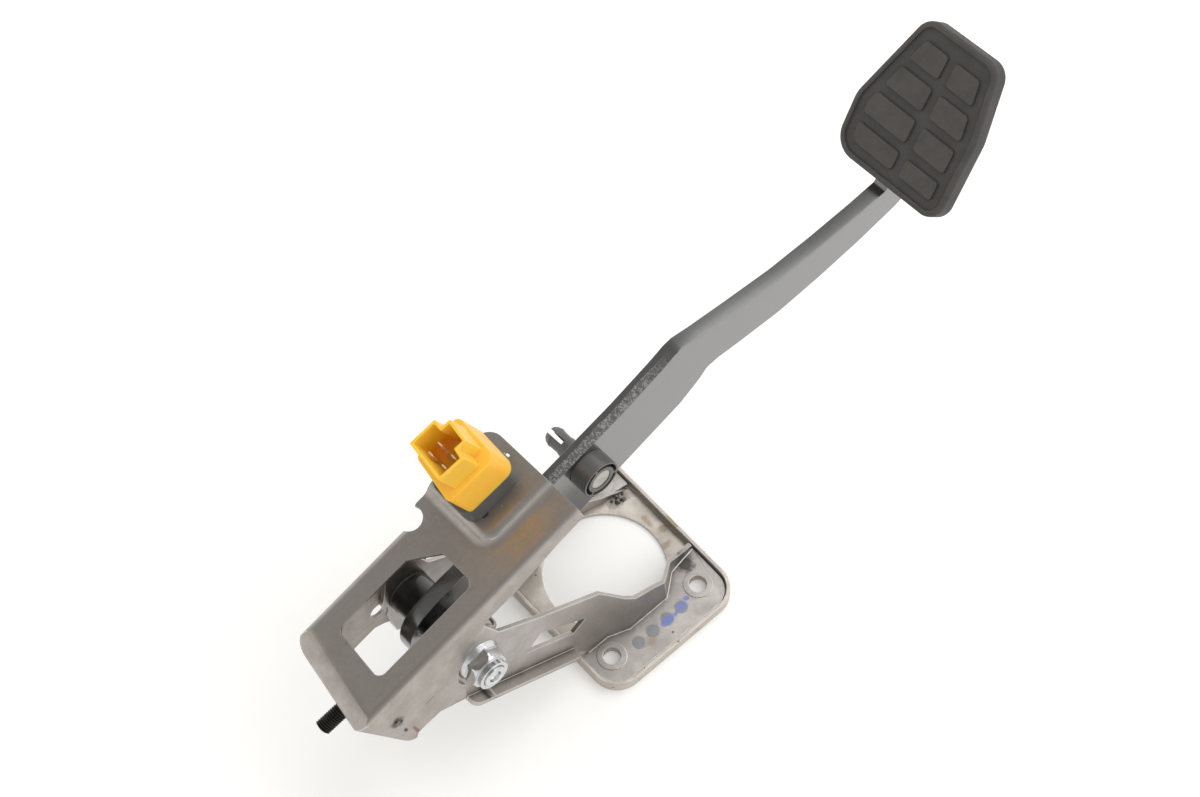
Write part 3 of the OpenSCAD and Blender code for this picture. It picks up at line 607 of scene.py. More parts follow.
class Tree:
    """Short ways to wire a material or a node group."""

    def __init__(self, tree: bpy.types.NodeTree) -> None:
        """Start on an empty node tree."""
        self.tree = tree
        self.tree.nodes.clear()

    def add(
        self, kind: str, values: dict[str | int, Value] | None = None, **settings: Value
    ) -> bpy.types.Node:
        """Add a node.

        Args:
            kind: Type of the node.
            values: A number, colour or output for each named or numbered input.
            **settings: Properties of the node.

        Returns:
            The node.
        """
        node = self.tree.nodes.new(kind)
        for name, value in settings.items():
            setattr(node, name, value)
        for name, value in (values or {}).items():
            self.feed(node.inputs[name], value)
        return node

    def feed(self, socket: bpy.types.NodeSocket, value: Value) -> None:
        """Link an output to an input, or set the input's own value.

        Args:
            socket: The input.
            value: An output, or a number, vector or colour.
        """
        if isinstance(value, bpy.types.NodeSocket):
            self.tree.links.new(value, socket)
        elif isinstance(value, tuple) and len(value) == 3 and socket.type == "RGBA":
            socket.default_value = (*value, 1.0)
        else:
            socket.default_value = value

    def math(self, operation: str, a: Value, b: Value = 0.0, clamp: bool = False) -> Value:
        """Add a Math node.

        Args:
            operation: What it does, such as ADD.
            a: First value.
            b: Second value.
            clamp: Whether the result is kept between 0 and 1.

        Returns:
            Its output.
        """
        return self.add(
            "ShaderNodeMath", {0: a, 1: b}, operation=operation, use_clamp=clamp
        ).outputs[0]

    def times(self, *factors: Value) -> Value:
        """Multiply two or more values.

        Args:
            *factors: The values.

        Returns:
            The product's output.
        """
        product = factors[0]
        for factor in factors[1:]:
            product = self.math("MULTIPLY", product, factor)
        return product

    def mix(self, factor: Value, a: Value, b: Value) -> Value:
        """Add a Mix node between two colours.

        Args:
            factor: Share of the second colour.
            a: First colour.
            b: Second colour.

        Returns:
            Its output.
        """
        return self.add("ShaderNodeMix", {0: factor, 6: a, 7: b}, data_type="RGBA").outputs[2]

    def span(self, value: Value, low: Value, high: Value, start: Value, end: Value) -> Value:
        """Add a smooth Map Range node.

        Args:
            value: What is mapped.
            low: Value that becomes `start`.
            high: Value that becomes `end`.
            start: Result at the low end.
            end: Result at the high end.

        Returns:
            Its output.
        """
        given = dict(enumerate((value, low, high, start, end)))
        return self.add("ShaderNodeMapRange", given, interpolation_type="SMOOTHSTEP").outputs[0]

    def part(self, vector: Value, axis: int) -> Value:
        """One component of a vector."""
        return self.add("ShaderNodeSeparateXYZ", {0: vector}).outputs[axis]

    def noise(self, place: Value, scale: Value, detail: float, roughness: float = 0.5) -> Value:
        """Add a Noise node.

        Args:
            place: Coordinates that it reads.
            scale: Its waves to a metre.
            detail: How many finer layers it has.
            roughness: How strong the finer layers are.

        Returns:
            Its value.
        """
        return self.add(
            "ShaderNodeTexNoise",
            {"Vector": place, "Scale": scale, "Detail": detail, "Roughness": roughness},
        ).outputs[0]


class Effect(Enum):
    """The effects that several finishes share."""

    MOTTLE = "mottle"
    SCRATCHES = "scratches"
    SPECKS = "specks"
    SPOT = "spot"
    # painted shading of inner corners, from ambient occlusion
    CREASE = "crease"
    GRAIN = "grain"


class Effects:
    """Shader node groups of the shared effects, each built once."""

    inputs: dict[Effect, dict[str, Value]] = {
        Effect.MOTTLE: {"Scale": 100.0, "Contrast": 0.2},
        Effect.SCRATCHES: {"Length": 60.0, "Amount": 0.2},
        Effect.SPECKS: {"Scale": 300.0, "Size": 0.2},
        Effect.SPOT: {
            "Middle": (0.0, 0.0, 0.0),
            "Stretch": (1.0, 1.0, 1.0),
            "Radius": 0.004,
            "Ragged": 0.3,
            "Core": 0.45,
        },
        Effect.CREASE: {"Reach": 0.004},
        Effect.GRAIN: {"Scale": 2000.0, "Coarse": 0.3},
    }
    made: dict[Effect, bpy.types.NodeTree] = {}

    @classmethod
    def group(cls, effect: Effect) -> bpy.types.NodeTree:
        """Find the node group of an effect, and build it on its first use.

        Args:
            effect: The effect.

        Returns:
            The group, with Vector and the effect's own values in, and a mask or a height out.
        """
        if effect in cls.made:
            return cls.made[effect]
        group = bpy.data.node_groups.new(effect.value, "ShaderNodeTree")
        inputs = {"Vector": (0.0, 0.0, 0.0), **cls.inputs[effect]}
        for label, default in inputs.items():
            kind = "NodeSocketVector" if isinstance(default, tuple) else "NodeSocketFloat"
            socket = group.interface.new_socket(label, in_out="INPUT", socket_type=kind)
            socket.default_value = default
        result = "Height" if effect is Effect.GRAIN else "Mask"
        group.interface.new_socket(result, in_out="OUTPUT", socket_type="NodeSocketFloat")
        tree = Tree(group)
        given = tree.add("NodeGroupInput").outputs[: len(inputs)]
        builders = {
            Effect.MOTTLE: cls.mottle,
            Effect.SCRATCHES: cls.scratches,
            Effect.SPECKS: cls.specks,
            Effect.SPOT: cls.spot,
            Effect.CREASE: cls.crease,
            Effect.GRAIN: cls.grain,
        }
        tree.add("NodeGroupOutput", {0: builders[effect](tree, *given)})
        cls.made[effect] = group
        return group

    @classmethod
    def lay(cls, tree: Tree, effect: Effect, place: Value, **values: Value) -> Value:
        """Place an effect in a material.

        Args:
            tree: The material's tree.
            effect: The effect.
            place: Coordinates that it reads.
            **values: Its named inputs.

        Returns:
            Its mask or height.
        """
        node = tree.add("ShaderNodeGroup", node_tree=cls.group(effect))
        for name, value in {"Vector": place, **values}.items():
            tree.feed(node.inputs[name], value)
        return node.outputs[0]

    @staticmethod
    def mottle(tree: Tree, place: Value, scale: Value, contrast: Value) -> Value:
        """Wire a cloudy mask with fine grain in it.

        Args:
            tree: The group's tree.
            place: Coordinates.
            scale: Clouds to a metre.
            contrast: Half the span in which the mask goes from 0 to 1.

        Returns:
            The mask.
        """
        low = tree.math("SUBTRACT", 0.5, contrast)
        high = tree.math("ADD", 0.5, contrast)
        return tree.span(tree.noise(place, scale, 7.0, 0.62), low, high, 0.0, 1.0)

    @staticmethod
    def scratches(tree: Tree, place: Value, length: Value, amount: Value) -> Value:
        """Wire a mask of short thin scratches in two directions.

        Args:
            tree: The group's tree.
            place: Coordinates.
            length: Scratches to a metre, lengthways.
            amount: How many there are, from 0 to 1.

        Returns:
            The mask.
        """
        low = tree.math("SUBTRACT", 0.9, amount)
        high = tree.math("ADD", low, 0.12)
        masks = []
        for turn, thin in ((0.35, 22.0), (-0.9, 16.0)):
            turned = tree.add(
                "ShaderNodeMapping", {0: place, "Rotation": (turn / 3, turn / 2, turn)}
            )
            laid = tree.add(
                "ShaderNodeMapping", {0: turned.outputs[0], "Scale": (1.0, thin, thin)}
            )
            noise = tree.noise(laid.outputs[0], length, 2.0)
            masks.append(tree.span(noise, low, high, 0.0, 1.0))
        return tree.math("MAXIMUM", *masks)

    @staticmethod
    def specks(tree: Tree, place: Value, scale: Value, size: Value) -> Value:
        """Wire a mask of scattered round specks of uneven size.

        Args:
            tree: The group's tree.
            place: Coordinates.
            scale: Specks to a metre.
            size: Size of the largest, as a share of their distance.

        Returns:
            The mask.
        """
        cells = tree.add("ShaderNodeTexVoronoi", {"Vector": place, "Scale": scale})
        uneven = tree.times(tree.part(cells.outputs["Color"], 0), size)
        return tree.span(cells.outputs["Distance"], tree.times(uneven, 0.6), uneven, 1.0, 0.0)

    @staticmethod
    def spot(
        tree: Tree,
        place: Value,
        middle: Value,
        stretch: Value,
        radius: Value,
        ragged: Value,
        core: Value,
    ) -> Value:
        """Wire a mask of one ragged spot.

        Args:
            tree: The group's tree.
            place: Coordinates.
            middle: The spot's middle.
            stretch: How far it is drawn out along each axis.
            radius: Its radius, m.
            ragged: How uneven its edge is.
            core: Share of the radius that is covered wholly.

        Returns:
            The mask.
        """
        away = tree.add("ShaderNodeVectorMath", {0: place, 1: middle}, operation="SUBTRACT")
        laid = tree.add(
            "ShaderNodeVectorMath", {0: away.outputs[0], 1: stretch}, operation="DIVIDE"
        )
        length = tree.add("ShaderNodeVectorMath", {0: laid.outputs[0]}, operation="LENGTH")
        uneven = tree.times(
            tree.math("SUBTRACT", tree.noise(place, 420.0, 5.0, 0.7), 0.5), ragged, 3.0
        )
        reach = tree.times(radius, tree.math("ADD", 1.0, uneven))
        return tree.span(length.outputs[1], tree.times(reach, core), reach, 1.0, 0.0)

    @staticmethod
    def crease(tree: Tree, place: Value, reach: Value) -> Value:
        """Wire a mask of painted shade in inner corners, from ambient occlusion: 1 where light is
        most blocked.

        Args:
            tree: The group's tree.
            place: Coordinates.
            reach: How far from the corner it starts, m.

        Returns:
            The mask.
        """
        # painted shade: ambient occlusion turned into a colour mask, strongest deep in corners and
        # between parts
        hidden = tree.add(
            "ShaderNodeAmbientOcclusion", {"Distance": reach}, samples=8, only_local=True
        )
        uneven = tree.times(tree.math("SUBTRACT", tree.noise(place, 160.0, 4.0), 0.5), 0.35)
        return tree.span(tree.math("ADD", hidden.outputs["AO"], uneven), 0.4, 0.95, 1.0, 0.0)

    @staticmethod
    def grain(tree: Tree, place: Value, scale: Value, coarse: Value) -> Value:
        """Wire the height of a fine moulded or sandy grain.

        Args:
            tree: The group's tree.
            place: Coordinates.
            scale: Grains to a metre.
            coarse: How strong the coarser cells in it are.

        Returns:
            The height.
        """
        cells = tree.add(
            "ShaderNodeTexVoronoi", {"Vector": place, "Scale": tree.times(scale, 0.45)}
        )
        fine = tree.noise(place, scale, 3.0, 0.6)
        return tree.math("ADD", fine, tree.times(cells.outputs["Distance"], coarse))


@dataclass(frozen=True)
class Mark:
    """A local change of colour, such as a rust spot, a heat tint or a weld's blue ring.

    Its place and radius are in millimetres in `frame`. `metal` is the share of the metal's sheen
    that it keeps, and `core` the share of its radius that it covers wholly.
    """

    place: Point
    radius: float
    colour: Colour
    strength: float = 0.8
    stretch: Point = (1.0, 1.0, 1.0)
    ragged: float = 0.3
    frame: Matrix = field(default_factory=lambda: PART_FRAME)
    metal: float = 0.2
    core: float = 0.45


@dataclass
class Skin:
    """What a finish has come to while it is wired."""

    colour: Value
    rough: Value
    metal: Value
    height: Value | None = None


MATERIALS: dict[str, bpy.types.Material] = {}


@dataclass(frozen=True)
class Finish:
    """A finish: two colours clouded into each other, scratches, specks, grain, local marks and
    painted shading in inner corners.

    Scales are in waves to a metre. `painted_shading_reach` and `grain_depth` are in millimetres,
    and
    `frame` is the frame in which the pattern lies.
    """

    name: str
    colour: Colour
    shade: Colour
    roughness: float
    metallic: float = 0.0
    rough_spread: float = 0.1
    cloud: float = 90.0
    contrast: float = 0.16
    fine_scale: float = 9.0
    fine_contrast: float = 1.4
    fine_share: float = 0.35
    scratch_colour: Colour = (0.6, 0.6, 0.6)
    scratches: float = 0.0
    scratch_length: float = 45.0
    scratch_strength: float = 0.45
    scratch_gloss: float = 0.2
    speck_colour: Colour = (0.16, 0.06, 0.02)
    specks: float = 0.0
    speck_scale: float = 260.0
    speck_rough: float = 0.25
    grain_scale: float = 1500.0
    grain_depth: float = 0.01
    coarse: float = 0.3
    ior: float = 1.5
    coat: float = 0.0
    coat_roughness: float = 0.1
    coat_ior: float = 1.5
    glow: float = 0.0
    glow_reach: Point = (0.007, 0.0042, 0.0014)
    # painted shading of inner corners: its strength, reach, colour and added roughness
    crease: float = 0.0
    painted_shading_reach: float = 4.0
    painted_shading_colour: Colour = (0.05, 0.045, 0.04)
    painted_shading_rough: float = 0.12
    frame: Matrix = field(default_factory=lambda: PEDAL_FRAME)
    marks: tuple[Mark, ...] = ()

    def material(self) -> bpy.types.Material:
        """Find the finish's material, and build it on its first use.

        Returns:
            The material.
        """
        if self.name not in MATERIALS:
            material = bpy.data.materials.new(f"dressed_{self.name}")
            material.use_nodes = True
            material.diffuse_color = (*self.colour, 1.0)
            self.wire(Tree(material.node_tree))
            MATERIALS[self.name] = material
        return MATERIALS[self.name]

    def wire(self, tree: Tree) -> None:
        """Wire the whole finish.

        Args:
            tree: The material's empty tree.
        """
        place = tree.add("ShaderNodeTexCoord").outputs["Object"]
        across = self.laid(tree, place, self.frame)
        skin = self.clouded(tree, across)
        self.wear(tree, skin, across)
        for mark in self.marks:
            self.lay_mark(tree, skin, mark, self.laid(tree, place, mark.frame))
        self.special(tree, skin, across)
        height = Effects.lay(
            tree, Effect.GRAIN, across, Scale=self.grain_scale, Coarse=self.coarse
        )
        if skin.height is not None:
            height = tree.math("ADD", height, skin.height)
        bump = tree.add(
            "ShaderNodeBump", {"Strength": 1.0, "Distance": self.grain_depth * MM, "Height": height}
        )
        shader = tree.add(
            "ShaderNodeBsdfPrincipled",
            {
                "Base Color": skin.colour,
                "Roughness": skin.rough,
                "Metallic": skin.metal,
                "IOR": self.ior,
                "Coat Weight": self.coat,
                "Coat Roughness": self.coat_roughness,
                "Coat IOR": self.coat_ior,
                "Normal": bump.outputs[0],
            },
        )
        if self.glow > 0:
            shader.inputs["Subsurface Weight"].default_value = self.glow
            shader.inputs["Subsurface Radius"].default_value = self.glow_reach
            shader.inputs["Subsurface Scale"].default_value = 1.0
        tree.add("ShaderNodeOutputMaterial", {"Surface": shader.outputs[0]})

    def clouded(self, tree: Tree, across: Value) -> Skin:
        """Cloud the finish's two colours into each other.

        Args:
            tree: The material's tree.
            across: Coordinates in the finish's frame.

        Returns:
            The surface so far.
        """
        cloud = Effects.lay(tree, Effect.MOTTLE, across, Scale=self.cloud, Contrast=self.contrast)
        fine = Effects.lay(
            tree,
            Effect.MOTTLE,
            across,
            Scale=self.cloud * self.fine_scale,
            Contrast=self.contrast * self.fine_contrast,
        )
        shade = tree.math(
            "ADD", tree.times(cloud, 1.0 - self.fine_share), tree.times(fine, self.fine_share)
        )
        return Skin(
            colour=tree.mix(shade, self.colour, self.shade),
            rough=tree.math("ADD", self.roughness, tree.times(shade, self.rough_spread)),
            metal=self.metallic,
        )

    def wear(self, tree: Tree, skin: Skin, across: Value) -> None:
        """Lay scratches, specks and the painted shading of inner corners on the surface.

        Args:
            tree: The material's tree.
            skin: The surface so far.
            across: Coordinates in the finish's frame.
        """
        if self.scratches > 0:
            lines = Effects.lay(
                tree,
                Effect.SCRATCHES,
                across,
                Length=self.scratch_length,
                Amount=self.scratches,
            )
            faint = tree.times(lines, self.scratch_strength)
            skin.colour = tree.mix(faint, skin.colour, self.scratch_colour)
            skin.rough = tree.math("SUBTRACT", skin.rough, tree.times(faint, self.scratch_gloss))
        if self.specks > 0:
            dots = Effects.lay(
                tree, Effect.SPECKS, across, Scale=self.speck_scale, Size=self.specks
            )
            skin.colour = tree.mix(dots, skin.colour, self.speck_colour)
            skin.rough = tree.math("ADD", skin.rough, tree.times(dots, self.speck_rough))
            self.dull(tree, skin, dots)
        # painted shading: inner corners take the shading colour where ambient occlusion finds them
        # hidden from the light
        if self.crease > 0:
            corner = Effects.lay(tree, Effect.CREASE, across, Reach=self.painted_shading_reach * MM)
            painted_shading = tree.times(corner, self.crease)
            skin.colour = tree.mix(painted_shading, skin.colour, self.painted_shading_colour)
            skin.rough = tree.math("ADD", skin.rough, tree.times(painted_shading, self.painted_shading_rough))

    def lay_mark(self, tree: Tree, skin: Skin, mark: Mark, place: Value) -> None:
        """Lay one local mark on the surface.

        Args:
            tree: The material's tree.
            skin: The surface so far.
            mark: The mark.
            place: Coordinates in the mark's frame.
        """
        spot = Effects.lay(
            tree,
            Effect.SPOT,
            place,
            Middle=tuple(millimetres(*mark.place)),
            Stretch=mark.stretch,
            Radius=mark.radius * MM,
            Ragged=mark.ragged,
            Core=mark.core,
        )
        mask = tree.times(spot, mark.strength)
        skin.colour = tree.mix(mask, skin.colour, mark.colour)
        if self.metallic > 0:
            self.dull(tree, skin, tree.times(mask, 1.0 - mark.metal))

    def dull(self, tree: Tree, skin: Skin, share: Value) -> None:
        """Take a share of the metal's sheen away."""
        if self.metallic > 0:
            skin.metal = tree.times(skin.metal, tree.math("SUBTRACT", 1.0, share))

    def special(self, tree: Tree, skin: Skin, across: Value) -> None:
        """Room for what only one kind of finish has."""

    @staticmethod
    def laid(tree: Tree, place: Value, frame: Matrix) -> Value:
        """Turn object coordinates into a frame.

        Args:
            tree: The material's tree.
            place: Object coordinates or normals.
            frame: The frame.

        Returns:
            The same in that frame.
        """
        if frame == PART_FRAME:
            return place
        back = frame.inverted()
        return tree.add(
            "ShaderNodeMapping",
            {0: place, "Location": tuple(back.translation), "Rotation": tuple(back.to_euler())},
        ).outputs[0]


@dataclass(frozen=True)
class LeverPaint(Finish):
    """Gloss black paint, with the torn edge that the press left along the blade's top."""

    tear_start: float = 62.0
    tear_end: float = 166.0
    tear_side: float = 30.0
    tear_fade: Point = (8.0, 0.7, 30.0)
    tear_cells: float = 2300.0
    tear_depth: float = 26.0
    tear_rough: float = 0.25
    tear_colour: Colour = (0.24, 0.235, 0.23)

    def special(self, tree: Tree, skin: Skin, across: Value) -> None:
        """Roughen and brighten the torn band on the near half of the top edge.

        Args:
            tree: The material's tree.
            skin: The surface so far.
            across: Coordinates in the pedal's frame.
        """
        normal = self.laid(
            tree,
            tree.add("ShaderNodeTexCoord").outputs["Normal"],
            Matrix(self.frame.to_3x3()).to_4x4(),
        )
        facing = tree.span(tree.part(normal, 2), 0.55, 0.8, 0.0, 1.0)
        cloud = Effects.lay(tree, Effect.MOTTLE, across, Scale=350.0, Contrast=0.3)
        wander = tree.times(tree.math("SUBTRACT", cloud, 0.5), 1.2 * MM)
        side = tree.math("ADD", tree.part(across, 1), wander)
        along = tree.part(across, 0)
        start_fade, side_fade, end_fade = (fade * MM for fade in self.tear_fade)
        start, edge, end = (
            at * MM for at in (self.tear_start, self.tear_side, self.tear_end)
        )
        mask = tree.times(
            tree.span(side, edge - side_fade, edge, 1.0, 0.0),
            facing,
            tree.span(along, start, start + start_fade, 0.0, 1.0),
            tree.span(along, end - end_fade, end, 1.0, 0.0),
        )
        strokes = tree.add("ShaderNodeMapping", {0: across, "Scale": (1.0, 0.45, 1.0)})
        cells = tree.add(
            "ShaderNodeTexVoronoi",
            {"Vector": strokes.outputs[0], "Scale": self.tear_cells},
            feature="F1",
        )
        glint = tree.span(tree.part(cells.outputs["Color"], 0), 0.5, 0.75, 0.0, 1.0)
        skin.colour = tree.mix(tree.times(mask, glint), skin.colour, self.tear_colour)
        rougher = tree.times(mask, self.tear_rough)
        skin.rough = tree.math("ADD", skin.rough, rougher, clamp=True)
        skin.height = tree.times(cells.outputs["Distance"], mask, self.tear_depth)


@dataclass(frozen=True)
class Rubber(Finish):
    """Moulded rubber, rubbed a little lighter where it stands proud."""

    rubbed: Colour = (0.075, 0.068, 0.06)
    rubbed_share: float = 0.7

    def special(self, tree: Tree, skin: Skin, across: Value) -> None:
        """Lighten the raised faces in patches.

        Args:
            tree: The material's tree.
            skin: The surface so far.
            across: Coordinates in the pad's frame.
        """
        raised = tree.span(tree.part(across, 2), -0.9 * MM, -0.1 * MM, 0.0, 1.0)
        patches = Effects.lay(tree, Effect.MOTTLE, across, Scale=120.0, Contrast=0.25)
        mask = tree.times(raised, patches, self.rubbed_share)
        skin.colour = tree.mix(mask, skin.colour, self.rubbed)


RUST: Colour = (0.19, 0.065, 0.02)
BRONZE: Colour = (0.45, 0.395, 0.345)
SCUFF: Colour = (0.03, 0.028, 0.026)
RESIDUE: Colour = (0.33, 0.25, 0.07)
STAIN: Colour = (0.3, 0.2, 0.1)
INK: Colour = (0.17, 0.23, 0.62)
WELD_GREY: Colour = (0.27, 0.285, 0.31)
WELD_RING: Colour = (0.2, 0.14, 0.09)
WELD_STEP = 9.2
WELD_START = -13.5
WELD_COUNT = 4
WELD_SIDES = (-39.5, 39.5)
FOOT_TOP = 4.6


def weld_marks() -> tuple[Mark, ...]:
    """Grey discs with a thin brown ring on both feet, where the arms are welded to the plate."""
    marks = []
    for side in WELD_SIDES:
        for index in range(WELD_COUNT):
            place = (WELD_START + index * WELD_STEP, side, FOOT_TOP)
            marks.append(Mark(place, 4.0, WELD_RING, 0.4, ragged=0.12, core=0.8, metal=1.0))
            marks.append(Mark(place, 3.35, WELD_GREY, 0.85, ragged=0.06, core=0.9, metal=0.8))
    return tuple(marks)


INK_TRACKS = (
    Mark((3.9, -40.3, FOOT_TOP), 2.9, INK, 0.75, (1.4, 0.85, 1.0), 0.25, metal=0.1, core=0.8),
    Mark((9.4, -40.2, FOOT_TOP), 1.5, INK, 0.75, (1.9, 0.7, 1.0), 0.3, metal=0.1, core=0.7),
    Mark((14.2, -39.2, FOOT_TOP), 2.9, INK, 0.6, (1.2, 0.9, 1.0), 0.3, metal=0.1, core=0.7),
    Mark((18.8, -37.6, FOOT_TOP), 1.5, INK, 0.8, (1.3, 1.0, 1.0), 0.3, metal=0.1, core=0.7),
)

HOOD_STEEL = Finish(
    name="hood_steel",
    colour=(0.5, 0.46, 0.425),
    shade=(0.4, 0.366, 0.336),
    roughness=0.36,
    metallic=1.0,
    rough_spread=0.12,
    scratches=0.2,
    scratch_colour=(0.62, 0.59, 0.55),
    specks=0.1,
    speck_colour=(0.6, 0.57, 0.53),
    speck_scale=210.0,
    grain_depth=0.012,
    marks=(
        Mark((33.8, 24.4, 39), 9.0, BRONZE, 0.25, (0.7, 1.2, 1.0), 0.4, PEDAL_FRAME, 1.0),
        Mark((-33.6, 33.6, 39), 3.0, SCUFF, 0.3, (1.4, 0.6, 1.0), 0.6, PEDAL_FRAME, 0.8),
        Mark((19.5, 8.8, 39), 1.6, SCUFF, 0.2, (2.2, 0.4, 1.0), 0.8, PEDAL_FRAME, 1.0),
        Mark((-44.9, -2, 18.5), 5.0, SCUFF, 0.8, (0.9, 1.0, 1.1), 0.5, PEDAL_FRAME, 0.5),
        Mark((-41.8, -2, -1.5), 2.2, RUST, 0.75, (0.5, 1.0, 2.8), 0.4, PEDAL_FRAME, 0.1),
        Mark((-27.9, -2, 10.7), 2.2, SCUFF, 0.35, (1.8, 1.0, 0.5), 0.5, PEDAL_FRAME, 0.8),
    ),
    # painted shade darkens the hood's inner corners
    crease=0.6,
    painted_shading_reach=5.0,
)
ARM_STEEL = Finish(
    name="arm_steel",
    colour=(0.54, 0.508, 0.478),
    shade=(0.43, 0.403, 0.378),
    roughness=0.32,
    metallic=1.0,
    rough_spread=0.12,
    scratches=0.18,
    scratch_colour=(0.5, 0.49, 0.47),
    specks=0.08,
    speck_colour=(0.13, 0.1, 0.08),
    grain_depth=0.01,
    # painted shade darkens the arms' inner corners and their seams with the plate
    crease=0.68,
    painted_shading_reach=6.0,
    marks=(
        Mark((-9.0, -42.0, FOOT_TOP), 5.0, STAIN, 0.35, (1.2, 0.8, 1.0), 0.5, metal=0.8),
        Mark((30.5, -23.0, 5.5), 6.5, SCUFF, 0.85, (0.9, 1.2, 1.5), 0.5, metal=0.3),
        Mark((2.1, -46.3, FOOT_TOP), 0.8, RUST, 0.9),
        *weld_marks(),
        *INK_TRACKS,
    ),
)
PLATE_STEEL = Finish(
    name="plate_steel",
    colour=(0.68, 0.62, 0.555),
    shade=(0.56, 0.51, 0.45),
    roughness=0.34,
    metallic=1.0,
    rough_spread=0.14,
    scratches=0.16,
    scratch_colour=(0.6, 0.58, 0.54),
    specks=0.13,
    speck_colour=(0.25, 0.13, 0.06),
    speck_scale=160.0,
    # painted shade darkens the plate's inner corners and the seams under the arms
    crease=0.75,
    painted_shading_reach=3.5,
    frame=PART_FRAME,
    marks=(
        Mark((40.6, -4.3, 7.5), 3.6, RESIDUE, 0.75, (0.7, 1.7, 1.2), 0.6, metal=0.2),
        Mark((36.5, -2.0, 2.2), 3.4, STAIN, 0.55, (1.3, 0.8, 1.0), 0.8, metal=0.6),
        Mark((33.0, 6.0, 2.2), 3.0, STAIN, 0.5, (0.6, 1.6, 1.0), 0.8, metal=0.6),
        Mark((31.0, -9.3, 2.2), 3.4, STAIN, 0.5, (1.4, 0.7, 1.0), 0.8, metal=0.6),
        Mark((30.5, 24.0, 2.2), 6.5, SCUFF, 0.55, (1.3, 0.7, 1.0), 0.5, metal=0.6),
        Mark((31.7, -22.9, 2.2), 4.5, SCUFF, 0.7, (0.8, 1.2, 1.0), 0.5, metal=0.4),
        Mark((14.0, 31.0, 2.2), 4.5, STAIN, 0.5, (2.4, 0.5, 1.0), 0.5, metal=0.6),
        Mark((-36.1, -41.4, 2.2), 1.9, INK, 0.85, (1.0, 1.0, 1.0), 0.35, metal=0.1, core=0.6),
    ),
)
# Rounded sheet edges: brighter, smoother metal, partly the bright sheared edge and partly a painted
# highlight along each edge line.
BRIGHT_EDGE_AND_HIGHLIGHT = Finish(
    name="bright_edge_and_highlight",
    colour=(0.74, 0.71, 0.67),
    shade=(0.55, 0.53, 0.5),
    roughness=0.24,
    metallic=1.0,
    cloud=240.0,
)
ZINC = Finish(
    name="bright_zinc",
    colour=(0.78, 0.79, 0.8),
    shade=(0.6, 0.61, 0.62),
    roughness=0.17,
    metallic=1.0,
    rough_spread=0.1,
    cloud=160.0,
    scratches=0.2,
    scratch_colour=(0.8, 0.8, 0.8),
    grain_depth=0.008,
)
BLACK_PHOSPHATE = Finish(
    name="black_phosphate",
    colour=(0.06, 0.052, 0.045),
    shade=(0.028, 0.024, 0.021),
    roughness=0.3,
    metallic=0.6,
    # painted shade darkens the roots of the thread
    crease=0.8,
    painted_shading_reach=0.9,
    painted_shading_colour=(0.008, 0.007, 0.006),
    grain_depth=0.02,
    cloud=200.0,
    scratches=0.17,
    scratch_colour=(0.12, 0.11, 0.1),
)
SPRING_STEEL = Finish(
    name="spring_steel",
    colour=(0.62, 0.59, 0.55),
    shade=(0.42, 0.39, 0.36),
    roughness=0.38,
    metallic=1.0,
    cloud=180.0,
    contrast=0.22,
)
LEVER_PAINT = LeverPaint(
    name="lever_paint",
    colour=(0.014, 0.014, 0.014),
    shade=(0.02, 0.0195, 0.019),
    roughness=0.2,
    rough_spread=0.07,
    ior=2.2,
    coat=1.0,
    coat_roughness=0.13,
    coat_ior=1.9,
    cloud=60.0,
    scratches=0.13,
    scratch_colour=(0.09, 0.09, 0.09),
    specks=0.07,
    speck_colour=(0.12, 0.115, 0.11),
    speck_scale=230.0,
    grain_scale=520.0,
    grain_depth=0.006,
)
HUB_PAINT = Finish(
    name="hub_paint",
    colour=(0.011, 0.011, 0.011),
    shade=(0.017, 0.016, 0.016),
    roughness=0.3,
    coat=1.0,
    coat_roughness=0.08,
    cloud=80.0,
    scratches=0.12,
    scratch_colour=(0.07, 0.07, 0.07),
    grain_scale=700.0,
    grain_depth=0.008,
)
BLACK_PLASTIC = Finish(
    name="black_plastic",
    colour=(0.075, 0.071, 0.067),
    shade=(0.095, 0.09, 0.086),
    roughness=0.27,
    rough_spread=0.12,
    ior=1.8,
    cloud=130.0,
    scratches=0.15,
    scratch_colour=(0.08, 0.08, 0.08),
    grain_depth=0.012,
)
YELLOW_PLASTIC = Finish(
    name="yellow_plastic",
    colour=(1.0, 0.53, 0.048),
    shade=(1.0, 0.48, 0.036),
    roughness=0.34,
    rough_spread=0.1,
    cloud=110.0,
    scratches=0.14,
    scratch_colour=(0.95, 0.66, 0.2),
    specks=0.06,
    speck_colour=(0.3, 0.13, 0.02),
    speck_scale=150.0,
    grain_depth=0.008,
    glow=0.6,
    # painted light: deep inside the connector the colour turns a lighter, paler orange, standing in
    # for light that reaches in
    crease=1.0,
    painted_shading_reach=22.0,
    painted_shading_colour=(1.0, 0.6, 0.07),
)
PALE_PLASTIC = Finish(
    name="pale_plastic",
    colour=(0.16, 0.15, 0.13),
    shade=(0.11, 0.104, 0.09),
    roughness=0.42,
    cloud=150.0,
)
TINNED_BRASS = Finish(
    name="tinned_brass",
    colour=(0.86, 0.83, 0.76),
    shade=(0.78, 0.74, 0.66),
    roughness=0.22,
    metallic=0.45,
    cloud=260.0,
    scratches=0.16,
)
BUFFER_RUBBER = Finish(
    name="buffer_rubber",
    colour=(0.03, 0.03, 0.03),
    shade=(0.02, 0.02, 0.02),
    roughness=0.6,
    grain_depth=0.02,
)
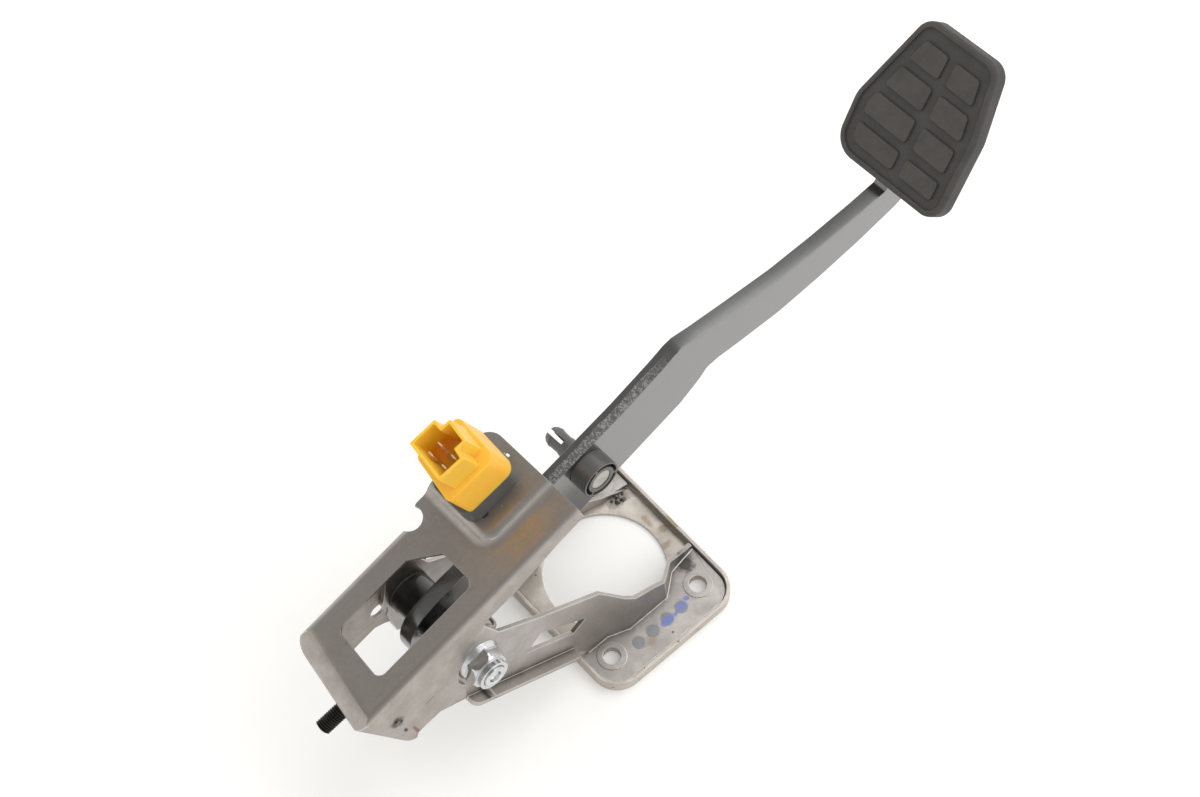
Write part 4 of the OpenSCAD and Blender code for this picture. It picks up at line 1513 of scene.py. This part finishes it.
PAD_RUBBER = Rubber(
    name="pad_rubber",
    colour=(0.06, 0.054, 0.052),
    shade=(0.044, 0.04, 0.038),
    roughness=0.52,
    rough_spread=0.12,
    cloud=70.0,
    contrast=0.22,
    grain_scale=1700.0,
    grain_depth=0.045,
    coarse=0.5,
    specks=0.05,
    speck_colour=(0.14, 0.13, 0.12),
    speck_scale=240.0,
    frame=PAD_FRAME,
)
PIN_STEEL = Finish(
    name="pin_steel",
    colour=(0.62, 0.61, 0.58),
    shade=(0.42, 0.4, 0.36),
    roughness=0.26,
    metallic=1.0,
    cloud=300.0,
    contrast=0.2,
    grain_depth=0.02,
)
WELD_METAL = Finish(
    name="weld_metal",
    colour=(0.3, 0.285, 0.27),
    shade=(0.07, 0.065, 0.06),
    roughness=0.2,
    metallic=1.0,
    cloud=420.0,
    contrast=0.25,
    grain_depth=0.05,
)


@dataclass(frozen=True)
class Dressing:
    """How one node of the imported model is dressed.

    The node's own mesh stays as it is. A rounded copy of it stands for it where `edge`, the
    rounding's width in millimetres, is above zero. Otherwise the node itself takes the finish.
    """

    node: str
    finish: Finish
    slot: str
    name: str = ""
    edge: float = 0.0
    edge_finish: Finish | None = None
    segments: int = 2
    sharp: float = 32.0


@dataclass
class Assembly:
    """A group of pieces that are dressed together."""

    nodes: dict[str, bpy.types.Object]
    pieces: list[bpy.types.Object] = field(default_factory=list)
    dressings: tuple[Dressing, ...] = ()
    flat_angle: float = 0.6
    rounded_angle: float = 34.0
    normal_weight: int = 60

    def build(self) -> None:
        """Dress every node of the group."""
        for dressing in self.dressings:
            self.dress(dressing)

    def paint(self, piece: bpy.types.Object, *finishes: Finish) -> None:
        """Give a piece its materials in place of what it has.

        Args:
            piece: The piece.
            *finishes: Finish of its faces, and of its rounded edges.
        """
        piece.data.materials.clear()
        for finish in finishes:
            piece.data.materials.append(finish.material())

    def copy_of(self, node: str, name: str) -> bpy.types.Object:
        """Copy a node's mesh into a new piece, merged and with its flat faces whole.

        Args:
            node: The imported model's node.
            name: Name of the new piece.

        Returns:
            The new piece.
        """
        mesh = self.nodes[node].data.copy()
        mesh.name = name
        mesh.materials.clear()
        piece = bpy.data.objects.new(name, mesh)
        bpy.context.scene.collection.objects.link(piece)
        Workshop.take(piece)
        if mesh.has_custom_normals:
            bpy.ops.mesh.customdata_custom_splitnormals_clear()
        with Workshop.editing(piece):
            bpy.ops.mesh.remove_doubles(threshold=MERGE)
            bpy.ops.mesh.dissolve_limited(angle_limit=math.radians(self.flat_angle))
        return piece

    def add(
        self, piece: bpy.types.Object, body: Body, slot: str, *replaced: str
    ) -> bpy.types.Object:
        """Make a finished piece ride on its body.

        Args:
            piece: The finished piece.
            body: The body it rides on.
            slot: The record's material slot.
            *replaced: Nodes it stands for.

        Returns:
            The piece.
        """
        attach(piece, body.value)
        self.enter(piece, slot, *replaced)
        return piece

    def enter(self, piece: bpy.types.Object, slot: str, *replaced: str) -> None:
        """Hide the nodes that a piece stands for, and keep the piece among the group's pieces.

        Args:
            piece: The finished piece.
            slot: The record's material slot; not used.
            *replaced: Nodes it stands for.
        """
        if replaced:
            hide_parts(*replaced)
        self.pieces.append(piece)
        stands = f", stands for {', '.join(replaced)}" if replaced else ""
        log.info("%s, %d faces%s", piece.name, len(piece.data.polygons), stands)

    def round_wire(self, node: str, name: str, fill: float) -> bpy.types.Object:
        """Copy a spring and make its wire round.

        Args:
            node: The spring's node, with a wire of eight sides.
            name: Name of the new piece.
            fill: How far the rounded wire is swelled back to its thickness, in millimetres.

        Returns:
            The new piece, painted as spring steel.
        """
        spring = self.copy_of(node, name)
        Workshop.apply(spring, "SUBSURF", levels=1, render_levels=1)
        Workshop.apply(spring, "DISPLACE", strength=fill * MM, mid_level=0.0)
        Workshop.smooth(spring, 50.0)
        self.paint(spring, SPRING_STEEL)
        return spring

    def body_of(self, node: str) -> Body:
        """The body that a node rides on."""
        return Body(self.nodes[node]["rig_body"])

    def dress(self, dressing: Dressing) -> bpy.types.Object:
        """Dress one node as its dressing says.

        Args:
            dressing: What the node takes.

        Returns:
            The node, or the rounded piece that stands for it.
        """
        if dressing.edge <= 0:
            node = self.nodes[dressing.node]
            self.paint(node, dressing.finish)
            log.info("%s keeps its shape and takes %s", dressing.node, dressing.finish.name)
            return node
        piece = self.copy_of(dressing.node, dressing.name)
        self.shape(dressing.node, piece)
        self.paint(piece, dressing.finish, dressing.edge_finish or dressing.finish)
        self.round_off(piece, dressing)
        return self.add(piece, self.body_of(dressing.node), dressing.slot, dressing.node)

    def shape(self, node: str, piece: bpy.types.Object) -> None:
        """Room for a group's own work on a copied node before its edges are rounded."""

    def round_off(self, piece: bpy.types.Object, dressing: Dressing) -> None:
        """Round a piece's sharp edges and shade it smooth between them.

        Args:
            piece: The piece.
            dressing: How wide and from what angle its edges are rounded.
        """
        Workshop.mark_roundings(piece, dressing.edge, dressing.sharp)
        Workshop.apply(
            piece,
            "BEVEL",
            width=dressing.edge * MM,
            segments=dressing.segments,
            limit_method="WEIGHT",
            use_clamp_overlap=False,
            # the rounded faces take the edge finish, which on the sheet metal is partly a painted
            # highlight
            material=1,
            harden_normals=False,
        )
        Workshop.smooth(piece, self.rounded_angle)
        Workshop.apply(piece, "WEIGHTED_NORMAL", keep_sharp=True, weight=self.normal_weight)


@dataclass
class Bracket(Assembly):
    """Base plate, both arms, hood, stud and weld spatter.

    The raised field lies beyond `field_corner` in the pedal's frame, and its pressed edges fold
    by `field_folds` degrees. `small_hole` is the hole's middle and how far its rim may lie from
    it, and `hole_layers` are the heights of the sheet's inner and outer face.
    """

    dressings: tuple[Dressing, ...] = (
        Dressing("base_plate", PLATE_STEEL, "plate_steel", "plate_sheet", 0.4, BRIGHT_EDGE_AND_HIGHLIGHT),
        Dressing("near_arm", ARM_STEEL, "arm_steel", "near_arm_sheet", 0.4, BRIGHT_EDGE_AND_HIGHLIGHT),
        Dressing("far_arm", ARM_STEEL, "arm_steel", "far_arm_sheet", 0.4, BRIGHT_EDGE_AND_HIGHLIGHT),
        Dressing("hood", HOOD_STEEL, "bare_steel", "hood_shell", 0.35, BRIGHT_EDGE_AND_HIGHLIGHT),
    )
    stud_radius: float = 4.0
    stud_pitch: float = 1.25
    stud_depth: float = 0.72
    stud_length: float = 17.5
    stud_root: float = -1.0
    press_width: float = 2.4
    press_segments: int = 5
    field_corner: Point = (30.0, 4.0, 38.5)
    field_folds: Span = (20.0, 75.0)
    small_hole: tuple[float, float, float, float] = (74.4, 41.0, 1.7, 3.4)
    hole_layers: Outline = ((38.0, 41.8), (41.8, 46.0))
    hole_share: float = 0.45
    spatter: tuple[Lump, ...] = (
        ((29.6, 23.6, 2.3), (1.9, 1.5, 1.3), 20.0),
        ((32.2, 22.4, 2.2), (1.3, 1.1, 1.0), -30.0),
        ((30.6, 26.0, 2.2), (1.2, 1.5, 0.9), 50.0),
        ((27.2, 25.4, 2.1), (1.0, 0.8, 0.7), 0.0),
        ((33.8, 25.0, 2.1), (0.8, 0.7, 0.6), 15.0),
    )
    hood_spatter: tuple[Lump, ...] = (
        ((-44.9, -2.1, 19.0), (1.3, 0.9, 1.1), 10.0),
        ((-45.1, -2.1, 6.4), (1.0, 0.7, 0.9), -25.0),
        ((-43.2, -2.1, 16.2), (0.7, 0.5, 0.6), 0.0),
    )

    def build(self) -> None:
        """Dress the sheet metal, cut the stud's thread and add the weld spatter."""
        super().build()
        self.build_stud()
        self.build_spatter()

    def shape(self, node: str, piece: bpy.types.Object) -> None:
        """Give the hood's raised field its soft pressed edges and draw its small hole in.

        Args:
            node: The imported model's node.
            piece: Its copy.
        """
        if node != "hood":
            return
        turn = PEDAL_FRAME.inverted().to_3x3()
        low_fold, high_fold = self.field_folds

        def pressed(edge: bmesh.types.BMEdge) -> bool:
            """Whether an edge runs round the raised field, on the outside of the sheet."""
            a, b = edge_points(edge, PEDAL_FRAME)
            inside = all(min(ends) > low for *ends, low in zip(a, b, self.field_corner))
            outside = (turn @ sum((face.normal for face in edge.link_faces), Vector())).z > 0
            return inside and outside and low_fold < abs(edge_fold(edge)) < high_fold

        Workshop.bevel_edges(piece, self.press_width, self.press_segments, pressed)
        self.shrink_hole(piece)

    def shrink_hole(self, piece: bpy.types.Object) -> None:
        """Draw the small hole beside the switch in to the size that the photograph shows.

        Args:
            piece: The hood's copy.
        """
        x, y, reach_x, reach_y = self.small_hole
        back = PEDAL_FRAME.inverted()
        with Workshop.editing(piece):
            for low, high in self.hole_layers:
                bpy.ops.mesh.select_all(action="DESELECT")
                mesh = bmesh.from_edit_mesh(piece.data)
                rim = []
                for vert in mesh.verts:
                    at = (back @ vert.co) / MM
                    if abs(at.x - x) < reach_x and abs(at.y - y) < reach_y and low < at.z < high:
                        vert.select_set(True)
                        rim.append(vert.co.copy())
                mesh.select_flush_mode()
                bmesh.update_edit_mesh(piece.data)
                log.debug("small hole: %d corners at %.1f to %.1f", len(rim), low, high)
                if rim:
                    middle = sum(rim, Vector()) / len(rim)
                    bpy.ops.transform.resize(value=(self.hole_share,) * 3, center_override=middle)

    def build_stud(self) -> None:
        """Cut the stud's thread and bevel its end."""
        end = self.stud_length
        stud = Workshop.thread(
            self.stud_radius, self.stud_pitch, self.stud_depth, self.stud_root, end
        )
        core = self.stud_radius - self.stud_depth
        point = Workshop.lathe(
            [
                (0.0, end - 1.0),
                (core - 0.1, end - 1.0),
                (core - 0.1, end + 0.1),
                (core - 0.5, end + 0.4),
                (0.0, end + 0.4),
            ],
            Workshop.thread_steps,
        )
        stud = Workshop.join([stud, point], "stud_thread")
        Workshop.settle(stud, "stud_thread", STUD_FRAME)
        Workshop.smooth(stud, 40.0)
        self.paint(stud, BLACK_PHOSPHATE)
        self.add(stud, Body.BRACKET, "black_phosphate", "hood_stud")

    def build_spatter(self) -> None:
        """Melt beads of weld metal by the far arm's root and on the hood's lower corner."""
        lumps = [Workshop.blob(place, size, turn) for place, size, turn in self.spatter]
        for place, size, turn in self.hood_spatter:
            at = PEDAL_FRAME @ millimetres(*place)
            lumps.append(Workshop.blob(tuple(at / MM), size, turn))
        beads = Workshop.join(lumps, "weld_spatter")
        Workshop.smooth(beads, 60.0)
        self.paint(beads, WELD_METAL)
        self.add(beads, Body.BRACKET, "bare_steel")


@dataclass
class Pivot(Assembly):
    """Bolt, nut, sleeve and the return spring on them.

    `coil_ends` are the places along the pivot between which the spring's coil winds; they are not
    used.
    """

    dressings: tuple[Dressing, ...] = (
        Dressing("pivot_bolt", ZINC, "zinc", "bolt", 0.3, ZINC),
        Dressing("pivot_nut", ZINC, "zinc", "flange_nut", 0.5, ZINC, 3),
        Dressing("pivot_sleeve", ZINC, "zinc"),
    )
    wire_fill: float = 0.118
    coil_ends: Span = (6.4, 14.8)
    tip_wall: float = 2.6
    tip_hollow: float = 1.6
    tip_slope: float = 1.0
    tip_floor: float = 0.5

    def shape(self, node: str, piece: bpy.types.Object) -> None:
        """Sink the hollow in the bolt's tip.

        Args:
            node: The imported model's node.
            piece: Its copy.
        """
        if node != "pivot_bolt":
            return
        back = PEDAL_FRAME.inverted()
        turn = back.to_3x3()
        with Workshop.editing(piece, "FACE"):
            mesh = bmesh.from_edit_mesh(piece.data)
            mesh.normal_update()
            bpy.ops.mesh.select_all(action="DESELECT")
            low = min((back @ vert.co).y for vert in mesh.verts)
            for face in mesh.faces:
                at = back @ face.calc_center_median()
                face.select_set((turn @ face.normal).y < -0.9 and at.y < low + 0.1 * MM)
            bmesh.update_edit_mesh(piece.data)
            bpy.ops.mesh.inset(thickness=self.tip_wall * MM)
            inward = PEDAL_FRAME.to_3x3() @ Vector((0, self.tip_hollow * MM, 0))
            bpy.ops.mesh.extrude_region_move(TRANSFORM_OT_translate={"value": inward})
            bpy.ops.mesh.inset(thickness=self.tip_slope * MM)
            bpy.ops.transform.translate(value=inward * self.tip_floor)

    def build(self) -> None:
        """Dress the bolt, its nut and its sleeve, and round the spring's wire."""
        super().build()
        self.build_spring()

    def build_spring(self) -> None:
        """Round the spring's wire."""
        spring = self.round_wire("return_spring", "spring_wire", self.wire_fill)
        self.enter(spring, "spring_steel", "return_spring")
        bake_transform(spring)


@dataclass
class Switch(Assembly):
    """Pedal switch with its plunger, spring and connector, and the buffer beside it.

    Outlines and places are in the pedal's frame. `tier_corners` names the upright corners that
    are rounded, each by a box of lowest and highest x and y at the ledge, and by a width. Both
    outlines lie at the ledge, from where `tier_rise` leads down and `socket_rise` up.
    """

    dressings: tuple[Dressing, ...] = (
        Dressing("switch_base", BLACK_PLASTIC, "black_plastic", "switch_housing", 0.5, None, 3),
        Dressing(
            "switch_terminals", TINNED_BRASS, "tinned_brass", "terminal_blades", 0.15, None, 1
        ),
        Dressing("switch_plunger", PALE_PLASTIC, "pale_plastic"),
        Dressing("stop_buffer", BUFFER_RUBBER, "buffer_rubber"),
    )
    connector: Dressing = Dressing(
        "switch_connector", YELLOW_PLASTIC, "yellow_plastic", "connector_body", 0.5
    )
    coil_fill: float = 0.04
    coil_foot: float = 45.9
    coil_top: Point = (56.0, 40.5, 53.1)
    plunger_travel: float = 3.0
    tier_outline: Outline = (
        (39.5, 27.3),
        (68.4, 26.6),
        (69.9, 54.2),
        (44.3, 55.2),
    )
    tier_foot: float = 54.8
    tier_rise: Point = (3.6, 0.0, -22.2)
    tier_corners: tuple[tuple[tuple[float, ...], float], ...] = (
        ((60.0, 80.0, 20.0, 40.0), 6.0),
        ((30.0, 80.0, 20.0, 60.0), 2.6),
    )
    corner_segments: int = 6
    corner_height: float = 10.0
    corner_fold: float = 60.0
    socket_outline: Outline = (
        (45.9, 30.1),
        (60.5, 29.3),
        (61.6, 34.6),
        (66.7, 34.3),
        (68.6, 47.6),
        (63.6, 47.9),
        (63.9, 52.9),
        (48.9, 53.4),
    )
    socket_rise: Point = (-3.0, -2.0, 19.8)
    socket_root: float = 3.0
    socket_wall: float = 1.5
    socket_floor: float = 71.8
    well_top: float = 25.0

    def build(self) -> None:
        """Dress the switch and the buffer, and form the coil and the connector."""
        super().build()
        self.build_coil()
        self.build_connector()

    def build_coil(self) -> None:
        """Round the small spring's wire."""
        coil = self.round_wire("plunger_spring", "plunger_coil", self.coil_fill)
        self.add(coil, Body.BRACKET, "spring_steel", "plunger_spring")
        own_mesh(coil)

    def build_connector(self) -> None:
        """Model the leaning connector.

        It has a lower tier with round corners, a ledge, and the keyed socket with its well.
        """
        ledge = self.tier_foot - self.tier_rise[2]
        tier = Workshop.prism(self.tier_outline, ledge, self.tier_rise)
        for box, width in self.tier_corners:
            self.round_corners(tier, box, width)
        rise = Vector(self.socket_rise)
        root = rise * (self.socket_root / rise.z)
        socket = Workshop.prism(self.socket_outline, ledge - self.socket_root, tuple(rise + root))
        socket.location -= Vector((root.x, root.y, 0)) * MM
        Workshop.take(socket)
        bpy.ops.object.transform_apply(location=True, rotation=True, scale=True)
        depth = ledge - self.socket_floor
        start = rise * (-depth / rise.z)
        inside = [
            (x + start.x, y + start.y)
            for x, y in drawn_in(self.socket_outline, self.socket_wall)
        ]
        height = depth + self.well_top
        well = Workshop.prism(inside, self.socket_floor, tuple(rise * (height / rise.z)))
        Workshop.combine(tier, socket, Join.UNITE)
        Workshop.combine(tier, well, Join.CUT)
        dressing = self.connector
        Workshop.settle(tier, dressing.name, PEDAL_FRAME)
        self.paint(tier, dressing.finish)
        self.round_off(tier, dressing)
        self.add(tier, self.body_of(dressing.node), dressing.slot, dressing.node)

    def round_corners(self, tier: bpy.types.Object, box: tuple[float, ...], width: float) -> None:
        """Round the upright corners of the lower tier that stand in a box and are still sharp.

        Args:
            tier: The lower tier, in the pedal's frame.
            box: Lowest and highest x and y at the ledge, mm.
            width: Width of the rounding, mm.
        """
        low_x, high_x, low_y, high_y = box

        def corner(edge: bmesh.types.BMEdge) -> bool:
            """Whether an edge is such a corner."""
            a, b = edge_points(edge, PART_FRAME)
            top = a if a.z > b.z else b
            inside = low_x < top.x < high_x and low_y < top.y < high_y
            upright = abs(a.z - b.z) > self.corner_height
            return inside and upright and edge_fold(edge) > self.corner_fold

        Workshop.bevel_edges(tier, width, self.corner_segments, corner)


@dataclass
class Pedal(Assembly):
    """Lever, hub, push rod bush and foot pad.

    The four roundings of the pad are each a width in millimetres and a number of faces.
    """

    dressings: tuple[Dressing, ...] = (
        Dressing("lever", LEVER_PAINT, "black_paint", "lever_bar", 0.5, sharp=24.0),
        Dressing("hub_tube", HUB_PAINT, "black_paint", "hub", 0.4),
        Dressing("switch_striker", LEVER_PAINT, "black_paint", "striker_tab", 0.3),
        Dressing("near_bush", PALE_PLASTIC, "pale_plastic"),
        Dressing("far_bush", PALE_PLASTIC, "pale_plastic"),
        Dressing("rod_bush", BLACK_PLASTIC, "black_plastic", "rod_bushing", 0.35),
        Dressing("rod_pin", PIN_STEEL, "pin_steel", "rod_dowel", 0.4),
        Dressing("pad_plate", BLACK_PHOSPHATE, "bare_steel"),
        Dressing("pad_rubber", PAD_RUBBER, "pad_rubber", "foot_pad", 0.3),
    )
    field_depth: float = 1.5
    pad_foot: float = -9.9
    wall_depth: float = 4.0
    pad_fold: float = 40.0
    block_rounding: tuple[float, int] = (1.8, 4)
    rim_rounding: tuple[float, int] = (2.0, 5)
    top_rounding: tuple[float, int] = (0.6, 3)
    under_rounding: tuple[float, int] = (1.0, 3)
    pin_place: Span = (97.2, 8.6)
    prong_start: float = 33.4
    prong_tip: float = 50.0
    prong_radius: float = 5.0
    prong_bore: float = 2.7
    prong_bore_floor: float = 3.4
    prong_gap: float = 2.4
    prong_gap_floor: float = 6.4
    prong_steps: int = 40

    def shape(self, node: str, piece: bpy.types.Object) -> None:
        """Round the foot pad as moulded rubber is, and turn the bush's prongs.

        Args:
            node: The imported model's node.
            piece: Its copy.
        """
        if node == "rod_bush":
            self.turn_prongs(piece)
        elif node == "pad_rubber":
            self.round_pad(piece)

    def round_pad(self, piece: bpy.types.Object) -> None:
        """Round the pad's blocks, rim and underside.

        Args:
            piece: The pad's copy.
        """

        def block_corner(edge: bmesh.types.BMEdge) -> bool:
            """Whether an edge is an upright corner of a block."""
            a, b = edge_points(edge, PAD_FRAME)
            length = (a - b).length
            upright = length > 0.5 and abs(abs(a.z - b.z) - length) < 0.05
            raised = min(a.z, b.z) > -self.field_depth - 0.1
            return upright and raised and edge_fold(edge) > self.pad_fold

        def top_edge(edge: bmesh.types.BMEdge) -> bool:
            """Whether an edge runs round a block's top or the rim's inside."""
            a, b = edge_points(edge, PAD_FRAME)
            return min(a.z, b.z) > -0.05 and edge_fold(edge) > self.pad_fold

        def rim_edge(edge: bmesh.types.BMEdge) -> bool:
            """Whether an edge runs round the outside of the pad's face."""
            return top_edge(edge) and self.by_wall(edge)

        def under_edge(edge: bmesh.types.BMEdge) -> bool:
            """Whether an edge runs round the outside of the pad's underside."""
            a, b = edge_points(edge, PAD_FRAME)
            low = max(a.z, b.z) <= self.pad_foot
            return low and edge_fold(edge) >= self.pad_fold and self.by_wall(edge)

        Workshop.bevel_edges(piece, *self.block_rounding, block_corner)
        Workshop.bevel_edges(piece, *self.rim_rounding, rim_edge)
        Workshop.bevel_edges(piece, *self.top_rounding, top_edge)
        Workshop.bevel_edges(piece, *self.under_rounding, under_edge)

    def by_wall(self, edge: bmesh.types.BMEdge) -> bool:
        """Whether an edge lies on the pad's outer wall, the only side that is so deep."""
        sides = [face for face in edge.link_faces if abs(self.tilt(face)) < 0.3]
        return bool(sides) and self.depth_below(sides[0]) > self.wall_depth

    def turn_prongs(self, piece: bpy.types.Object) -> None:
        """Cut the bush off behind its seat and give it two round-ended prongs side by side.

        Args:
            piece: The bush's copy.
        """
        axis = (PEDAL_FRAME.to_3x3() @ Vector((0, 1, 0))).normalized()
        with Workshop.editing(piece):
            bpy.ops.mesh.bisect(
                plane_co=PEDAL_FRAME @ millimetres(0, self.prong_start, 0),
                plane_no=axis,
                use_fill=True,
                clear_outer=True,
            )
        x, z = self.pin_place
        radius = self.prong_radius
        start = self.prong_start
        length = self.prong_tip - start
        prongs = Workshop.lathe(
            [
                (0.0, 0.0),
                (radius + 0.3, 0.0),
                (radius + 0.2, 6.0),
                (radius - 0.2, 7.0),
                (radius - 0.1, length - 4.6),
                (radius + 0.2, length - 3.8),
                (radius - 0.4, length - 1.5),
                (radius - 1.5, length),
                (self.prong_bore, length),
                (self.prong_bore, self.prong_bore_floor),
                (0.0, self.prong_bore_floor),
            ],
            self.prong_steps,
        )
        half = self.prong_gap / 2
        slot = Workshop.prism(
            [(-half, -9.0), (half, -9.0), (half, 9.0), (-half, 9.0)],
            self.prong_gap_floor,
            (0, 0, 20),
        )
        Workshop.combine(prongs, slot, Join.CUT)
        Workshop.settle(
            prongs,
            "prongs",
            PEDAL_FRAME
            @ Matrix.Translation(millimetres(x, start, z))
            @ Matrix.Rotation(math.radians(-90), 4, "X"),
        )
        Workshop.join([piece, prongs], piece.name)

    @staticmethod
    def tilt(face: bmesh.types.BMFace) -> float:
        """How far a face of the pad looks up, from -1 to 1."""
        return (PAD_FRAME.to_3x3().inverted() @ face.normal).z

    @staticmethod
    def depth_below(face: bmesh.types.BMFace) -> float:
        """Height that a face of the pad covers, mm."""
        heights = [(PAD_FRAME.inverted() @ v.co).z / MM for v in face.verts]
        return max(heights) - min(heights)


@dataclass
class Studio:
    """Pale floor, soft light and the camera of the photograph."""

    floor_size: float = 12.0
    floor_colour: Colour = (0.95, 0.945, 0.935)
    floor_glow: Colour = (1.0, 0.995, 0.985)
    floor_lift: float = 0.14
    floor_deep: float = 0.985
    ambient: float = 0.86
    ambient_colour: Colour = (1.0, 0.99, 0.975)
    mirrored_colour: Colour = (1.0, 0.99, 0.98)
    wall_height: float = 0.25
    ceiling_height: float = 0.8
    ceiling: float = 0.3
    key_power: float = 5.5
    key_size: float = 1.15
    key_place: Point = (0.72, 0.15, 1.3)
    fill_power: float = 3.0
    fill_place: Point = (0.7, -0.9, 0.9)
    target: Point = (0.0, 0.0, 0.05)
    image_width: float = 1200.0
    focal_pixels: float = 3000.0
    sensor: float = 36.0
    eye: Point = (-0.3914440, -0.4304773, 1.3429628)
    eye_right: Point = (0.74395, -0.6682349, 0.0007672)
    eye_up: Point = (0.5964924, 0.6645953, 0.4500109)
    eye_back: Point = (-0.3012229, -0.334328, 0.8930227)

    def build(self) -> None:
        """Set up the floor, the light and the camera."""
        self.build_floor()
        self.build_world()
        self.build_lamp("key_light", self.key_place, self.key_power, self.key_size)
        self.build_lamp("fill_light", self.fill_place, self.fill_power, self.key_size)
        self.build_camera()
        bpy.context.scene.view_settings.view_transform = "Standard"

    def build_floor(self) -> None:
        """Lay the pale floor under the base plate."""
        Workshop.clear()
        bpy.ops.mesh.primitive_plane_add(size=self.floor_size, location=(0, 0, 0))
        floor = bpy.context.object
        floor.name = "floor"
        material = bpy.data.materials.new("pale_floor")
        material.use_nodes = True
        tree = Tree(material.node_tree)
        place = tree.add("ShaderNodeTexCoord").outputs["Object"]
        deep = tuple(c * self.floor_deep for c in self.floor_colour)
        colour = tree.mix(tree.noise(place, 3.0, 2.0), self.floor_colour, deep)
        shader = tree.add("ShaderNodeBsdfPrincipled", {"Base Color": colour, "Roughness": 0.8})
        path = tree.add("ShaderNodeLightPath")
        tree.feed(shader.inputs["Emission Color"], self.floor_glow)
        lift = tree.times(path.outputs["Is Camera Ray"], self.floor_lift)
        tree.feed(shader.inputs["Emission Strength"], lift)
        tree.add("ShaderNodeOutputMaterial", {"Surface": shader.outputs[0]})
        floor.data.materials.append(material)

    def build_world(self) -> None:
        """Light from all round. Reflections see white walls under a darker ceiling."""
        world = bpy.data.worlds.new("studio")
        bpy.context.scene.world = world
        world.use_nodes = True
        tree = Tree(world.node_tree)
        path = tree.add("ShaderNodeLightPath")
        seen = tree.math(
            "MAXIMUM", path.outputs["Is Camera Ray"], path.outputs["Is Transmission Ray"]
        )
        height = tree.part(tree.add("ShaderNodeTexCoord").outputs["Generated"], 2)
        mirrored = tree.span(height, self.wall_height, self.ceiling_height, 1.0, self.ceiling)
        soft = tree.add(
            "ShaderNodeBackground", {"Color": self.ambient_colour, "Strength": self.ambient}
        )
        room = tree.add(
            "ShaderNodeBackground", {"Color": self.mirrored_colour, "Strength": mirrored}
        )
        white = tree.add("ShaderNodeBackground", {"Color": (1.0, 1.0, 1.0), "Strength": 1.0})
        lit = tree.add(
            "ShaderNodeMixShader",
            {0: path.outputs["Is Glossy Ray"], 1: soft.outputs[0], 2: room.outputs[0]},
        )
        mixed = tree.add("ShaderNodeMixShader", {0: seen, 1: lit.outputs[0], 2: white.outputs[0]})
        tree.add("ShaderNodeOutputWorld", {"Surface": mixed.outputs[0]})

    def build_lamp(self, name: str, place: Point, power: float, size: float) -> None:
        """Hang one square soft light and point it at the part.

        Args:
            name: The light's name.
            place: Where it hangs, m.
            power: Its power, W.
            size: Its side, m.
        """
        light = bpy.data.lights.new(name, "AREA")
        light.energy = power
        light.size = size
        lamp = bpy.data.objects.new(name, light)
        bpy.context.scene.collection.objects.link(lamp)
        lamp.location = place
        lamp.rotation_euler = (
            (Vector(self.target) - Vector(place)).to_track_quat("-Z", "Y").to_euler()
        )

    def build_camera(self) -> None:
        """Place the camera where the photograph was taken from."""
        data = bpy.data.cameras.new("photo_camera")
        data.sensor_width = self.sensor
        data.lens = self.focal_pixels / self.image_width * self.sensor
        data.clip_start = 0.05
        data.clip_end = 50.0
        camera = bpy.data.objects.new("photo_camera", data)
        bpy.context.scene.collection.objects.link(camera)
        axes = Matrix((self.eye_right, self.eye_up, self.eye_back)).transposed().to_4x4()
        camera.matrix_world = Matrix.Translation(self.eye) @ axes
        bpy.context.scene.camera = camera


def main() -> None:
    """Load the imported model, dress it and set the stage."""
    logging.basicConfig(level=logging.INFO, format="%(name)s: %(message)s")
    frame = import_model()
    Workshop.clear()
    for group in (Bracket, Pivot, Switch, Pedal):
        assembly = group(frame["nodes"])
        assembly.build()
        log.info("%s: %d new pieces", group.__name__, len(assembly.pieces))
    Studio().build()
    Workshop.clear()


if __name__ == "__main__":
    main()
